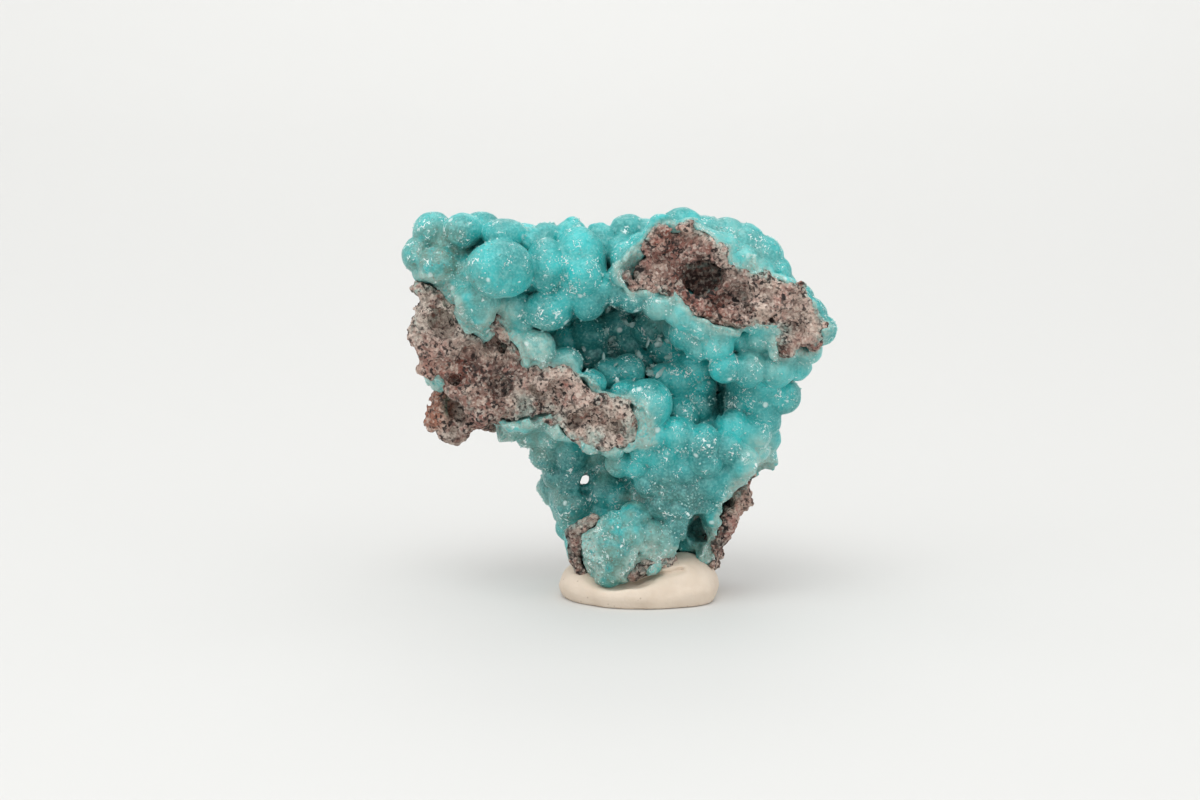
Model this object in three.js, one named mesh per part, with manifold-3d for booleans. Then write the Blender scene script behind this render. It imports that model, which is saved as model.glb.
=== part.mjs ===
// A hand specimen of blue hemimorphite, about 52 mm wide, standing on a pad of putty.
//
// Three pieces, millimetres, +Z up, origin in the middle of the putty's flat underside:
//   matrix              the iron-stained, pitted host rock, broken across at two ledges
//   hemimorphite_crust  the rounded blue lumps that coat the rock, grown together into one crust
//   putty               the soft pad that the two feet are pressed into
//
// The specimen is laid out on its front elevation, looking down SIGHT_DEG below level. A place is
// [across, up, back]: across and up as seen there, and back as its true depth along +Y.
import * as THREE from "three";
import Module from "manifold-3d";
import { mergeVertices } from "three/addons/utils/BufferGeometryUtils.js";
import { TessellateModifier } from "three/addons/modifiers/TessellateModifier.js";
import { SimplifyModifier } from "three/addons/modifiers/SimplifyModifier.js";
import { ImprovedNoise } from "three/addons/math/ImprovedNoise.js";

// Driving dimensions
const SIGHT_DEG = 10; // how far the front elevation looks down
const PUTTY_WIDTH = 19.4;
const PUTTY_DEPTH = 16.4;
const PUTTY_THICKNESS = 4.4;
const PUTTY_RIDGE_TOP = 5.3;
const GAP = 0.65; // room between the rock and its crust, part of which their facets take up
const SEAT_GAP = 0.7; // room between the feet and the putty, likewise
const SKIN = 1.6; // outside of the thin coat of crust between its lumps, over the rock
const LOBE_BUMPS = 0.9; // how far the rounded masses of rock stray from ellipsoids
const LOBE_WAVE = 6.5; // distance between those bumps
const ROUGHNESS = 0.42; // how far the broken rock strays from its slabs
const GRAIN_WAVE = 2.6; // distance between the grains of the broken rock
const ROUGH_MARGIN = 0.7; // room kept beside the broken rock for its grains
const ROCK_FACET = 2.4; // longest edge on a broken face
const FACE_RIM = 0.35; // how far the bare front of a broken face reaches over the crust round it
const CLEARANCE = 12; // and how far forward of it nothing grows
const LUMP_RADIUS = 2.05; // of the lumps that are scattered over the back and sides
const LUMP_SPREAD = 0.55; // how far their radii stray from it
const LUMP_AREA = 9; // square mm of coat for each of them
const SCATTER_FLOOR = 7; // none of them below this, where the feet meet the putty
const FINE_RADIUS = 2.35; // larger lumps than this are given more facets
const GOLDEN_ANGLE = Math.PI * (3 - Math.sqrt(5));
const PINCH_DRAW = 0.03; // share of each edge by which touching corners are drawn apart
const MATRIX_FACETS = 2450; // triangles kept on the rock
const CRUST_FACETS = 6900; // and on its crust
const PUTTY_SIDES = 12; // facets round the putty, few enough for it to rest firmly on their corners
const PUTTY_RINGS = 10;

// Outlines of the broken rock faces, as [across, up] points.
const UPPER_LEDGE = [
  [-2.1, 40.4], [0.2, 42.2], [2.2, 45.0], [5.6, 45.3], [6.8, 44.0], [10.1, 42.7], [10.6, 40.9],
  [13.2, 40.3], [15.2, 39.3], [18.6, 38.0], [20.4, 36.2], [22.5, 33.6], [20.4, 31.4], [16.6, 30.6],
  [16.8, 33.8], [12.2, 34.2], [9.0, 34.8], [6.8, 36.0], [4.4, 37.9], [-0.8, 38.2],
];
const LEFT_LEDGE = [
  [-26.4, 38.8], [-23.6, 37.8], [-21.4, 33.4], [-18.6, 32.4], [-17.0, 34.6], [-15.6, 32.2],
  [-13.2, 29.4], [-10.4, 28.1], [-8.2, 28.0], [-5.0, 25.3], [-1.6, 24.3], [0.3, 23.6], [1.0, 22.0],
  [0.3, 20.4], [-3.4, 19.4], [-6.6, 20.0], [-9.2, 21.8], [-12.2, 22.8], [-15.4, 22.0],
  [-18.6, 22.6], [-20.2, 24.6], [-24.2, 27.2], [-26.4, 28.4], [-26.8, 32.6], [-25.2, 36.6],
];
const FOOT_CHIP = [[-0.6, 4.3], [0.3, 6.0], [3.2, 7.0], [4.3, 6.6], [3.5, 5.2], [1.6, 4.1]];
const FOOT_RIM = [[-8.3, 8.8], [-6.8, 10.3], [-5.9, 9.4], [-7.0, 7.6], [-6.4, 4.4], [-7.6, 5.0]];
const RIGHT_RIM = [
  [12.6, 15.0], [13.9, 16.8], [14.6, 17.0], [13.7, 12.9], [11.5, 11.5], [11.4, 9.9], [9.8, 7.6],
  [9.9, 5.8], [9.4, 4.4], [8.4, 5.0], [8.9, 8.0], [10.2, 10.6], [10.4, 12.4],
];
const BACK_FACE = [
  [-22.0, 38.0], [-24.0, 31.0], [-17.0, 22.0], [-13.4, 17.0], [-11.0, 8.0], [-6.0, 3.0], [6.0, 3.0],
  [12.0, 5.0], [14.8, 13.0], [16.6, 22.0], [19.0, 30.0], [13.0, 36.0], [4.0, 38.0], [-3.0, 36.0],
  [-12.0, 38.6],
];

// The broken faces: rough slabs that run back from front, which leans by slope for each mm across.
// narrowing is the depth over which a slab would taper to nothing.
const BROKEN_FACES = [
  { outline: UPPER_LEDGE, front: -8.6, back: -3, slope: 0.06, narrowing: 22 },
  { outline: LEFT_LEDGE, front: -8.8, back: -3, slope: -0.2, narrowing: 22 },
  { outline: FOOT_CHIP, front: -6.8, back: 1 },
  { outline: FOOT_RIM, front: -4.4, back: 3 },
  { outline: RIGHT_RIM, front: -2.2, back: 6.5 },
];
// The left side and the lower right are bare rock too, inside these outlines, and the back is.
const LEFT_SIDE = [
  [-32.0, 38.4], [-26.6, 38.6], [-25.2, 36.6], [-26.2, 32.6], [-25.6, 28.4], [-23.4, 26.4],
  [-19.6, 24.4], [-16.6, 22.2], [-16.0, 19.0], [-32.0, 19.0],
];
const RIGHT_SIDE = [
  [10.2, 12.4], [12.6, 15.0], [13.9, 16.8], [18.0, 17.4], [18.0, 3.0], [8.2, 3.0], [8.4, 5.0],
  [8.9, 8.0], [10.2, 10.6],
];
const BARE_SIDES = [
  { outline: LEFT_SIDE, front: -12, back: 14 },
  { outline: RIGHT_SIDE, front: -12, back: 14 },
];
const BARE_BACK = { outline: BACK_FACE, front: 6.4, back: 24 };

// The rock's rounded masses: [across, up, back] of the middle, then half sizes the same way.
const LOBES = {
  cap_left: [-20.0, 40.4, 0.8, 4.8, 2.6, 5.2],
  cap_right: [-11.0, 40.2, 0.8, 6.4, 2.6, 5.2],
  cap_brow: [-16.6, 39.6, -2.6, 4.2, 1.8, 2.6],
  cap_root: [-13.6, 37.8, 5.4, 7.0, 4.0, 4.2],
  crown_middle: [-1.8, 40.6, 1.8, 5.0, 2.2, 5.2],
  crown_right: [7.2, 40.6, 0.8, 6.2, 2.8, 5.2],
  crown_root: [7.0, 38.0, 5.4, 8.0, 4.2, 4.2],
  shoulder: [13.4, 36.2, 1.4, 4.2, 3.2, 5.6],
  left_wall: [-20.6, 32.2, 0.8, 5.6, 6.2, 5.2],
  left_root: [-16.4, 31.0, 5.2, 4.0, 6.0, 4.2],
  left_apron: [-16.0, 26.4, 1.6, 5.4, 4.2, 5.0],
  septum: [-5.5, 23.8, 1.0, 6.6, 2.0, 5.6],
  back_upper: [-1.0, 31.4, 8.2, 15.6, 10.6, 3.8],
  back_lower: [1.0, 20.4, 7.0, 10.6, 8.0, 3.6],
  back_foot: [1.4, 11.0, 5.0, 7.4, 6.4, 3.4],
  right_wall: [14.2, 29.6, 2.6, 2.6, 6.4, 5.8],
  right_flank: [11.6, 20.6, 2.8, 2.2, 4.8, 4.8],
  sill: [5.4, 19.2, 1.4, 4.6, 3.6, 4.6],
  sill_lip: [0.4, 22.6, -1.6, 2.0, 1.8, 3.2],
  belly: [4.4, 13.0, 1.2, 4.2, 3.8, 3.6],
  recess_floor: [-7.4, 14.4, 5.0, 1.8, 5.0, 2.4],
  left_foot: [-2.4, 7.6, 0.4, 4.8, 2.5, 4.0],
  right_foot: [9.0, 9.4, 2.2, 1.5, 4.6, 2.8],
};

// The knob of rock below the left ledge: [across, up, back, radius].
const KNOB = [
  [-22.8, 24.2, 1.2, 2.9],
  [-22.3, 21.9, 1.2, 1.3],
];

// Pits where the broken rock has weathered out: [across, up, back, radius].
const PITS = [
  [7.0, 39.8, -8.6, 2.1], [2.0, 40.4, -9.0, 1.1], [12.3, 37.6, -8.4, 1.2], [9.4, 36.6, -8.6, 0.9],
  [18.6, 33.6, -8.2, 1.0], [6.6, 42.8, -8.6, 0.9], [-17.0, 26.6, -5.6, 1.7], [-21.3, 29.8, -4.6, 1.2],
  [-16.4, 30.2, -5.6, 1.0], [-20.2, 27.4, -4.6, 0.9], [-3.9, 21.6, -8.6, 0.9], [-7.6, 22.4, -7.6, 1.0],
  [-12.0, 24.6, -6.6, 0.8], [-22.2, 24.4, -2.2, 1.4], [-23.8, 34.0, -4.2, 0.9],
  [-7.0, 30.0, 12.0, 2.2], [3.0, 24.0, 11.0, 1.8], [9.0, 33.0, 11.6, 1.6], [-2.0, 14.0, 10.6, 1.5],
];

// The pin-hole of light through the back of the lower recess: [across, up], radius.
const PINHOLE = { at: [-6.5, 15.2], radius: 0.9 };

// Lumps of the crust, each [across, up, back, radius], by the part of the specimen they coat.
const LUMPS = {
  cap: [
    [-24.3, 45.3, -1.0, 2.3], [-21.0, 45.2, -3.6, 2.3], [-19.0, 44.9, -0.6, 2.4],
    [-26.4, 42.1, -2.0, 2.1], [-24.1, 41.8, -4.6, 2.6], [-25.6, 39.9, -2.6, 1.6],
    [-22.4, 43.2, -2.6, 2.2], [-22.0, 39.9, -4.6, 2.2], [-17.3, 44.4, -3.6, 1.9],
    [-15.6, 43.7, -4.2, 2.8], [-18.3, 40.7, -7.0, 2.6], [-15.2, 41.3, -8.0, 2.9],
    [-15.4, 40.0, -8.0, 2.7], [-20.6, 38.0, -5.6, 2.2], [-18.5, 35.9, -6.4, 2.4],
    [-11.5, 42.1, -6.0, 2.3], [-11.0, 40.0, -6.2, 2.1], [-10.8, 44.3, -3.0, 2.0],
    [-8.0, 44.2, -3.0, 2.2], [-7.4, 43.2, -6.4, 2.4], [-5.7, 41.2, -6.6, 2.3],
    [-6.7, 39.7, -7.6, 1.9], [-5.4, 38.4, -6.8, 1.9], [-6.6, 36.8, -6.8, 1.9],
    [-9.0, 36.1, -6.6, 2.0], [-11.6, 36.4, -6.0, 2.0], [-13.6, 36.7, -5.0, 1.9],
    [-14.6, 34.9, -3.4, 1.8], [-11.9, 34.6, -4.4, 1.6],
  ],
  top: [
    [-22.6, 43.4, 3.6, 2.6], [-24.8, 41.2, 3.2, 2.3], [-18.2, 43.6, 4.2, 2.7],
    [-13.8, 43.4, 1.6, 2.6], [-13.8, 42.2, 6.4, 2.5], [-9.6, 42.8, 2.4, 2.6],
    [-5.4, 42.8, 1.6, 2.4], [-7.6, 41.8, 6.6, 2.5], [-20.4, 41.0, 7.6, 2.3], [-1.8, 43.2, 3.4, 2.5],
    [2.2, 43.6, 2.4, 2.4], [6.0, 44.4, 1.2, 2.5], [9.8, 43.6, 1.6, 2.4], [4.4, 42.4, 6.4, 2.6],
    [9.6, 41.8, 6.2, 2.5], [13.2, 41.0, 2.4, 2.4], [16.6, 38.4, 1.4, 2.3], [13.6, 39.0, 6.4, 2.4],
    [-1.4, 41.4, 7.6, 2.4], [18.0, 34.4, 2.6, 2.2],
  ],
  top_right: [
    [-4.6, 43.8, -2.0, 2.0], [-1.4, 44.8, -1.0, 2.2], [0.9, 44.3, -1.0, 2.2],
    [-2.4, 42.4, -3.6, 2.0], [5.0, 45.0, -3.6, 2.6], [7.7, 44.5, -3.2, 2.3],
    [10.2, 44.3, -3.0, 2.3], [12.3, 43.5, -3.0, 2.4], [14.3, 41.9, -3.2, 2.5],
    [15.8, 40.1, -3.6, 2.0], [18.6, 37.0, -4.0, 1.9], [20.3, 35.4, -4.6, 1.7],
    [21.6, 33.4, -5.6, 1.6], [2.9, 44.4, -4.6, 1.8], [0.3, 42.9, -5.0, 1.8], [-1.6, 41.6, -5.6, 1.9],
    [-2.3, 39.6, -6.0, 1.6], [12.0, 41.6, -5.8, 1.8], [9.0, 43.2, -6.0, 1.5],
    [14.2, 40.2, -5.8, 1.5],
  ],
  ledge_underside: [
    [-2.4, 37.9, -6.0, 1.7], [-0.8, 37.2, -6.4, 1.7], [2.2, 36.5, -6.8, 1.9], [5.4, 35.2, -7.0, 2.0],
    [7.4, 34.2, -7.0, 1.9], [9.7, 33.8, -6.6, 2.2], [9.1, 31.7, -6.4, 1.9], [5.4, 33.0, -5.0, 1.9],
    [6.9, 31.4, -5.4, 1.6], [14.0, 32.7, -5.0, 1.9], [12.2, 32.2, -4.4, 1.7],
    [17.4, 30.8, -4.6, 1.6], [19.8, 31.0, -4.6, 1.7], [18.6, 29.4, -3.6, 1.8],
    [10.1, 29.0, -6.0, 1.8], [12.8, 28.8, -5.4, 2.1], [16.3, 28.5, -5.0, 1.9],
    [14.8, 30.6, -3.4, 1.8],
  ],
  right_wall: [
    [17.0, 25.6, -2.0, 2.1], [15.4, 26.6, -2.0, 2.2], [14.4, 24.7, -1.8, 2.3],
    [12.2, 24.4, -1.0, 2.0], [15.0, 22.6, -2.4, 1.9], [11.1, 21.9, -4.0, 1.9],
    [13.6, 20.9, -3.6, 2.1], [13.8, 19.0, -3.2, 1.7], [10.2, 19.3, -5.6, 1.9],
    [12.2, 17.6, -5.0, 2.1], [12.4, 15.6, -3.8, 1.8],
  ],
  sill: [
    [0.9, 24.6, -6.4, 2.7], [-1.6, 25.4, -5.0, 1.9], [4.6, 27.5, -1.2, 2.1], [3.0, 27.6, -1.2, 1.8],
    [7.1, 26.3, 0.4, 2.1], [7.0, 24.3, -0.8, 2.1], [5.0, 23.2, -3.2, 1.9], [4.6, 20.9, -6.0, 2.1],
    [7.4, 19.9, -6.4, 2.1], [7.8, 17.8, -6.4, 1.9], [2.8, 18.3, -5.6, 2.0], [1.4, 20.9, -6.0, 2.0],
    [0.4, 19.1, -6.2, 1.5],
  ],
  lower_front: [
    [-2.4, 17.5, -4.6, 1.6], [-0.5, 17.2, -5.0, 1.6], [2.9, 16.6, -5.4, 2.0], [5.6, 16.6, -5.4, 1.9],
    [1.2, 15.2, -4.6, 1.8], [3.4, 14.5, -4.8, 1.9], [5.7, 14.1, -5.0, 1.9], [7.8, 15.2, -5.0, 1.9],
    [9.6, 16.2, -4.8, 1.8], [9.8, 14.0, -4.2, 1.8], [11.1, 15.2, -3.8, 1.7], [2.6, 12.5, -4.6, 1.8],
    [5.0, 11.9, -4.8, 1.8], [4.5, 10.0, -4.8, 1.7], [7.2, 12.7, -4.0, 1.7], [8.9, 11.6, -3.0, 1.8],
    [9.2, 9.6, -1.6, 1.5], [8.5, 6.9, -1.4, 1.5],
  ],
  left_foot: [
    [-0.6, 11.0, -5.4, 1.8], [-2.6, 9.9, -5.0, 1.8], [-0.9, 8.9, -6.0, 1.8], [1.4, 9.0, -5.4, 1.7],
    [3.0, 8.4, -5.2, 1.7], [-4.4, 8.6, -4.6, 2.0], [-5.4, 6.9, -4.8, 1.9], [-3.2, 6.9, -5.8, 2.0],
    [-5.2, 5.6, -5.0, 1.9], [-3.6, 4.5, -5.2, 1.9], [-1.4, 6.6, -6.0, 1.8], [-1.6, 4.9, -5.6, 1.5],
    [0.6, 7.3, -5.8, 1.5],
  ],
  recess: [
    [-8.0, 12.3, 2.0, 2.4], [-8.2, 9.7, 2.4, 1.8], [-3.9, 14.1, 2.0, 2.3], [-2.2, 13.2, 0.8, 1.8],
    [-4.2, 16.7, 2.8, 1.5], [-8.3, 18.5, 1.8, 2.1], [-11.2, 18.5, 2.2, 2.0], [-5.2, 18.6, 3.0, 1.9],
    [-10.0, 15.9, 3.2, 1.7], [-11.0, 21.0, 0.6, 1.8], [-13.4, 21.0, 1.2, 1.6],
  ],
  ledge_rim: [
    [-14.9, 32.0, -4.8, 1.7], [-12.3, 31.2, -5.6, 2.1], [-8.8, 29.4, -4.6, 1.8],
    [-5.6, 27.0, -5.6, 1.5], [-6.0, 20.2, -7.0, 1.3], [-3.2, 19.4, -7.0, 1.3],
    [-9.6, 21.6, -5.6, 1.3], [-13.4, 22.6, -4.8, 1.4],
  ],
  pocket: [
    [-6.0, 33.0, 2.0, 2.2], [-5.8, 30.6, 2.4, 2.1], [-9.0, 32.2, 2.6, 2.0], [-1.4, 28.6, -1.6, 1.9],
    [-3.6, 28.2, -1.6, 1.8], [-1.1, 31.8, 3.4, 1.8], [0.4, 29.6, 3.2, 1.8], [1.3, 33.6, 2.4, 2.1],
    [3.2, 31.4, 1.8, 2.0], [-2.6, 34.2, 3.6, 2.0], [4.8, 29.6, 0.6, 1.7], [6.8, 29.2, -0.8, 1.8],
    [-8.6, 28.4, 3.4, 1.9], [-5.4, 26.8, 3.4, 1.9], [-2.6, 26.4, 1.0, 1.8], [4.8, 34.0, 0.0, 2.0],
    [2.0, 25.9, 3.0, 2.0],
  ],
};

const manifold = await Module();
manifold.setup();
const perlin = new ImprovedNoise();

// Takes a place on the front elevation, (across, up, back), to the part's own frame. The foot line
// of the elevation is the front edge of the putty.
function elevationFrame() {
  const sight = THREE.MathUtils.degToRad(SIGHT_DEG);
  const stretch = 1 / Math.cos(sight);
  const foot = (PUTTY_DEPTH / 2) * Math.tan(sight);
  const frame = new THREE.Matrix4();
  return frame.set(1, 0, 0, 0, 0, 0, 1, 0, 0, stretch, -Math.tan(sight), -foot, 0, 0, 0, 1);
}
const FROM_ELEVATION = elevationFrame();

const place = ([across, up, back]) => new THREE.Vector3(across, up, back).applyMatrix4(FROM_ELEVATION);

// Smooth noise at a place, in three directions.
function wander(p, wave) {
  const layer = (k, shift) =>
    perlin.noise((k * p.x) / wave + shift, (k * p.y) / wave + 2 * shift, (k * p.z) / wave + 7.3);
  return new THREE.Vector3(
    layer(1, 0) + 0.6 * layer(2, 5.7),
    layer(1, 11.9) + 0.6 * layer(2, 17.1),
    layer(1, 23.7) + 0.6 * layer(2, 29.3),
  );
}

// Moves each vertex as bend says. Shared corners stay shared, because bend only sees the place.
function reshape(geometry, bend) {
  const position = geometry.getAttribute("position");
  for (let i = 0; i < position.count; i++) {
    const p = bend(new THREE.Vector3().fromBufferAttribute(position, i));
    position.setXYZ(i, p.x, p.y, p.z);
  }
  return geometry;
}

const roughen = (geometry, amount, wave) =>
  reshape(geometry, (p) => p.addScaledVector(wander(p, wave), amount));

// A closed geometry as a solid that can be joined and cut. The elevation is a left-handed frame, so
// what comes from it is inside out, and its corners are taken in the other order.
function solid(geometry) {
  const bare = new THREE.BufferGeometry();
  bare.setAttribute("position", geometry.getAttribute("position"));
  bare.setIndex(geometry.index);
  const merged = mergeVertices(bare, 1e-4);
  const vertProperties = merged.getAttribute("position").array;
  const make = (triVerts) =>
    new manifold.Manifold(new manifold.Mesh({ numProp: 3, vertProperties, triVerts }));
  const corners = new Uint32Array(merged.index.array);
  const made = make(corners);
  return made.volume() > 0 ? made : make(corners.reverse());
}

const fuse = (solids) => manifold.Manifold.union(solids);

// The largest connected body of a solid, with any sealed bubble in it filled.
function mainBody(made) {
  return made.decompose().reduce((best, each) => (each.volume() > best.volume() ? each : best));
}

function geometryOf(made) {
  const { vertProperties, triVerts } = made.getMesh();
  const geometry = new THREE.BufferGeometry();
  geometry.setAttribute("position", new THREE.BufferAttribute(vertProperties, 3));
  geometry.setIndex(new THREE.BufferAttribute(triVerts, 1));
  return geometry;
}

// Where a body touches itself at a corner, draws each of the corners a little back into its own side.
function unpinched(made) {
  const { vertProperties, triVerts } = made.getMesh();
  const at = (i) => vertProperties.slice(3 * i, 3 * i + 3).join();
  const count = vertProperties.length / 3;
  const sharing = new Map();
  for (let i = 0; i < count; i++) sharing.set(at(i), (sharing.get(at(i)) ?? 0) + 1);
  const pinched = Array.from({ length: count }, (_, i) => sharing.get(at(i)) > 1);
  const moved = vertProperties.slice();
  for (let corner = 0; corner < triVerts.length; corner++) {
    const own = triVerts[corner];
    if (!pinched[own]) continue;
    const next = triVerts[corner % 3 === 2 ? corner - 2 : corner + 1];
    for (let k = 0; k < 3; k++) {
      moved[3 * own + k] += PINCH_DRAW * (vertProperties[3 * next + k] - vertProperties[3 * own + k]);
    }
  }
  return new manifold.Manifold(new manifold.Mesh({ numProp: 3, vertProperties: moved, triVerts }));
}

// The same body with only about this many facets.
async function lightened(made, facets) {
  const body = mainBody(made);
  const geometry = geometryOf(body);
  const spare = geometry.getAttribute("position").count * (1 - facets / body.numTri());
  const light = await new SimplifyModifier().modify(geometry, Math.floor(spare));
  return unpinched(mainBody(solid(light)));
}

// An outline moved outward by grow. Its sharpest corners move no more than twice that.
function swollenOutline(outline, grow) {
  const points = outline.map(([across, up]) => new THREE.Vector2(across, up));
  const turn = THREE.ShapeUtils.isClockWise(points) ? -1 : 1;
  return points.map((point, i) => {
    const along = point.clone().sub(points.at(i - 1)).normalize();
    const onward = points[(i + 1) % points.length].clone().sub(point).normalize();
    const outward = new THREE.Vector2(along.y + onward.y, -along.x - onward.x);
    outward.normalize().multiplyScalar(turn);
    const lift = Math.max(0.5, Math.abs(outward.cross(along)));
    return point.clone().addScaledVector(outward, grow / lift);
  });
}

// A slab of rock, swollen by grow on every side and run forward by reach. A rough one is broken up.
function slab(face, { grow = 0, reach = 0, rough = false } = {}) {
  const { outline, front, back, slope = 0, narrowing = Infinity } = face;
  const depth = back - front + reach + 2 * grow;
  const shape = new THREE.Shape(swollenOutline(outline, grow));
  let geometry = new THREE.ExtrudeGeometry(shape, { depth, steps: 1, bevelEnabled: false });
  geometry.deleteAttribute("normal");
  geometry.deleteAttribute("uv");
  if (rough) geometry = new TessellateModifier(ROCK_FACET, 12).modify(geometry);
  const middle = new THREE.Box2().setFromPoints(shape.getPoints()).getCenter(new THREE.Vector2());
  reshape(geometry, (p) => {
    const behind = Math.max(0, p.z - reach) / narrowing;
    p.x += (middle.x - p.x) * behind;
    p.y += (middle.y - p.y) * behind;
    p.z += front - reach - grow + slope * p.x;
    return p.applyMatrix4(FROM_ELEVATION);
  });
  return solid(rough ? roughen(geometry, ROUGHNESS, GRAIN_WAVE) : geometry);
}

// A ball on the elevation, turned by its own place so that no two show the same facets.
function ball([across, up, back, radius], { grow = 0, rough = false } = {}) {
  const geometry = new THREE.IcosahedronGeometry(radius + grow, radius > FINE_RADIUS ? 2 : 1);
  geometry.rotateX(across + back);
  geometry.rotateZ(up);
  const { x, y, z } = place([across, up, back]);
  geometry.translate(x, y, z);
  return solid(rough ? roughen(geometry, ROUGHNESS, GRAIN_WAVE) : geometry);
}

// A rounded mass of rock, swollen by grow. Its bumps are those of the unswollen one. Behind the
// specimen it is bare and as rough as the broken faces.
function lobe([across, up, back, half_across, half_up, half_back], { grow = 0 } = {}) {
  const middle = place([across, up, back]);
  const size = new THREE.Vector3(half_across, half_back, half_up);
  const geometry = new THREE.IcosahedronGeometry(1, half_across > 9 ? 5 : 3);
  return solid(
    reshape(geometry, (way) => {
      const skin = way.clone().multiply(size).add(middle);
      const bare = THREE.MathUtils.smoothstep(skin.y, BARE_BACK.front - 1, BARE_BACK.front + 1);
      const bumps = wander(skin, LOBE_WAVE).multiplyScalar(LOBE_BUMPS);
      const grains = wander(skin, GRAIN_WAVE).multiplyScalar(1.6 * bare * ROUGHNESS);
      if (grow > 0) return skin.add(bumps).addScaledVector(way, grow + bare * ROUGH_MARGIN);
      return skin.add(bumps).add(grains);
    }),
  );
}

// Lumps over the rest of the coat, evenly spread on each lobe and clear of the lumps placed by hand.
function scatteredLumps() {
  const taken = Object.values(LUMPS).flat().map(([across, up, back]) => place([across, up, back]));
  const spread = [];
  for (const [across, up, back, ...size] of Object.values(LOBES)) {
    const middle = place([across, up, back]);
    const half = new THREE.Vector3(size[0], size[2], size[1]).addScalar(SKIN - 0.5);
    const area = (4 / 3) * Math.PI * (half.x * half.y + half.y * half.z + half.z * half.x);
    const count = Math.round(area / LUMP_AREA);
    for (let i = 0; i < count; i++) {
      const height = 1 - (2 * i + 1) / count;
      const ring = Math.sqrt(1 - height * height);
      const turn = i * GOLDEN_ANGLE + across;
      const way = new THREE.Vector3(ring * Math.cos(turn), ring * Math.sin(turn), height);
      const at = way.multiply(half).add(middle);
      const radius = LUMP_RADIUS + LUMP_SPREAD * wander(at, 1.7).x;
      const crowded = taken.some((other) => other.distanceTo(at) < 0.95 * radius + 1.1);
      if (at.y < 0 || at.z < SCATTER_FLOOR || buried(at) || crowded) continue;
      taken.push(at);
      spread.push([at, radius]);
    }
  }
  return spread.map(([at, radius]) => {
    const geometry = new THREE.IcosahedronGeometry(radius, 1);
    geometry.rotateX(at.x);
    return solid(geometry.translate(at.x, at.y, at.z));
  });
}

// Whether a place lies well inside some lobe.
function buried(at) {
  return Object.values(LOBES).some(([across, up, back, ...size]) => {
    const half = new THREE.Vector3(size[0], size[2], size[1]).addScalar(SKIN - 0.9);
    return at.clone().sub(place([across, up, back])).divide(half).length() < 1;
  });
}

const lobes = (options) => Object.values(LOBES).map((each) => lobe(each, options));
const lumps = (options) => Object.values(LUMPS).flat().map((each) => ball(each, options));
const brokenFaces = (options) => BROKEN_FACES.map((each) => slab(each, options));
const knob = (options) => KNOB.map((each) => ball(each, options));

function pinhole() {
  const [across, up] = PINHOLE.at;
  const depth = 24;
  const rod = new THREE.CylinderGeometry(PINHOLE.radius, PINHOLE.radius, depth, 7);
  rod.rotateX(Math.PI / 2);
  rod.translate(across, up, depth / 2 - 2);
  return solid(rod.applyMatrix4(FROM_ELEVATION));
}

function makeMatrix() {
  const rough = { rough: true };
  const body = fuse([...lobes(), ...brokenFaces(rough), ...knob(rough)]);
  const pits = fuse(PITS.map((pit) => ball(pit, rough)));
  return body.subtract(pits).subtract(pinhole());
}

// Everything in front of a broken face, or behind the bare back, where the crust has come away.
function bareRegions() {
  const fronts = BROKEN_FACES.map((face) =>
    slab({ ...face, back: face.front + FACE_RIM }, { grow: FACE_RIM, reach: CLEARANCE }),
  );
  return fuse([...fronts, ...BARE_SIDES.map((side) => slab(side)), slab(BARE_BACK)]);
}

function makeCrust() {
  const coat = fuse(lobes({ grow: SKIN }));
  const room = { grow: GAP + ROUGH_MARGIN };
  const rock = fuse([...lobes({ grow: GAP }), ...brokenFaces(room), ...knob(room)]);
  const grown = fuse([coat, ...lumps(), ...scatteredLumps()]);
  return grown.subtract(rock).subtract(bareRegions()).subtract(pinhole());
}

// The pad: a flattened pebble with a ridge squeezed up between the feet, and a flat underside.
function makePutty() {
  const pebble = ({ middle: [across, back], half: [half_across, half_back], bottom, top }) => {
    const geometry = new THREE.SphereGeometry(1, PUTTY_SIDES, PUTTY_RINGS).rotateX(Math.PI / 2);
    return reshape(geometry, (p) => {
      const rounder = Math.sign(p.z) * Math.abs(p.z) ** 0.8;
      p.set(across + p.x * half_across, back + p.y * half_back, top * (0.38 + 0.62 * rounder));
      return p.setZ(Math.max(p.z, bottom));
    });
  };
  const half = [PUTTY_WIDTH / 2, PUTTY_DEPTH / 2];
  const pad = solid(pebble({ middle: [0, 0], half, bottom: 0, top: PUTTY_THICKNESS }));
  const ridge = solid(
    pebble({ middle: [4.6, -0.8], half: [5.0, 6.2], bottom: 0.5, top: PUTTY_RIDGE_TOP }),
  );
  const feet = fuse([
    ...lobes({ grow: SKIN + SEAT_GAP }),
    ...lumps({ grow: SEAT_GAP }),
    ...brokenFaces({ grow: ROUGH_MARGIN + SEAT_GAP }),
  ]);
  return pad.add(ridge).subtract(feet);
}

function piece(name, made, color, roughness) {
  const geometry = geometryOf(made);
  geometry.computeVertexNormals();
  const material = new THREE.MeshStandardMaterial({ color, roughness, metalness: 0 });
  const mesh = new THREE.Mesh(geometry, material);
  mesh.name = name;
  return mesh;
}

const matrix = await lightened(makeMatrix(), MATRIX_FACETS);
const crust = await lightened(makeCrust(), CRUST_FACETS);
const putty = unpinched(mainBody(makePutty()));

const specimen = new THREE.Group();
specimen.add(
  piece("matrix", matrix, 0x8a6c60, 0.95),
  piece("hemimorphite_crust", crust, 0x3fb3b0, 0.45),
  piece("putty", putty, 0xe4dccf, 0.85),
);

export default specimen;
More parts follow.
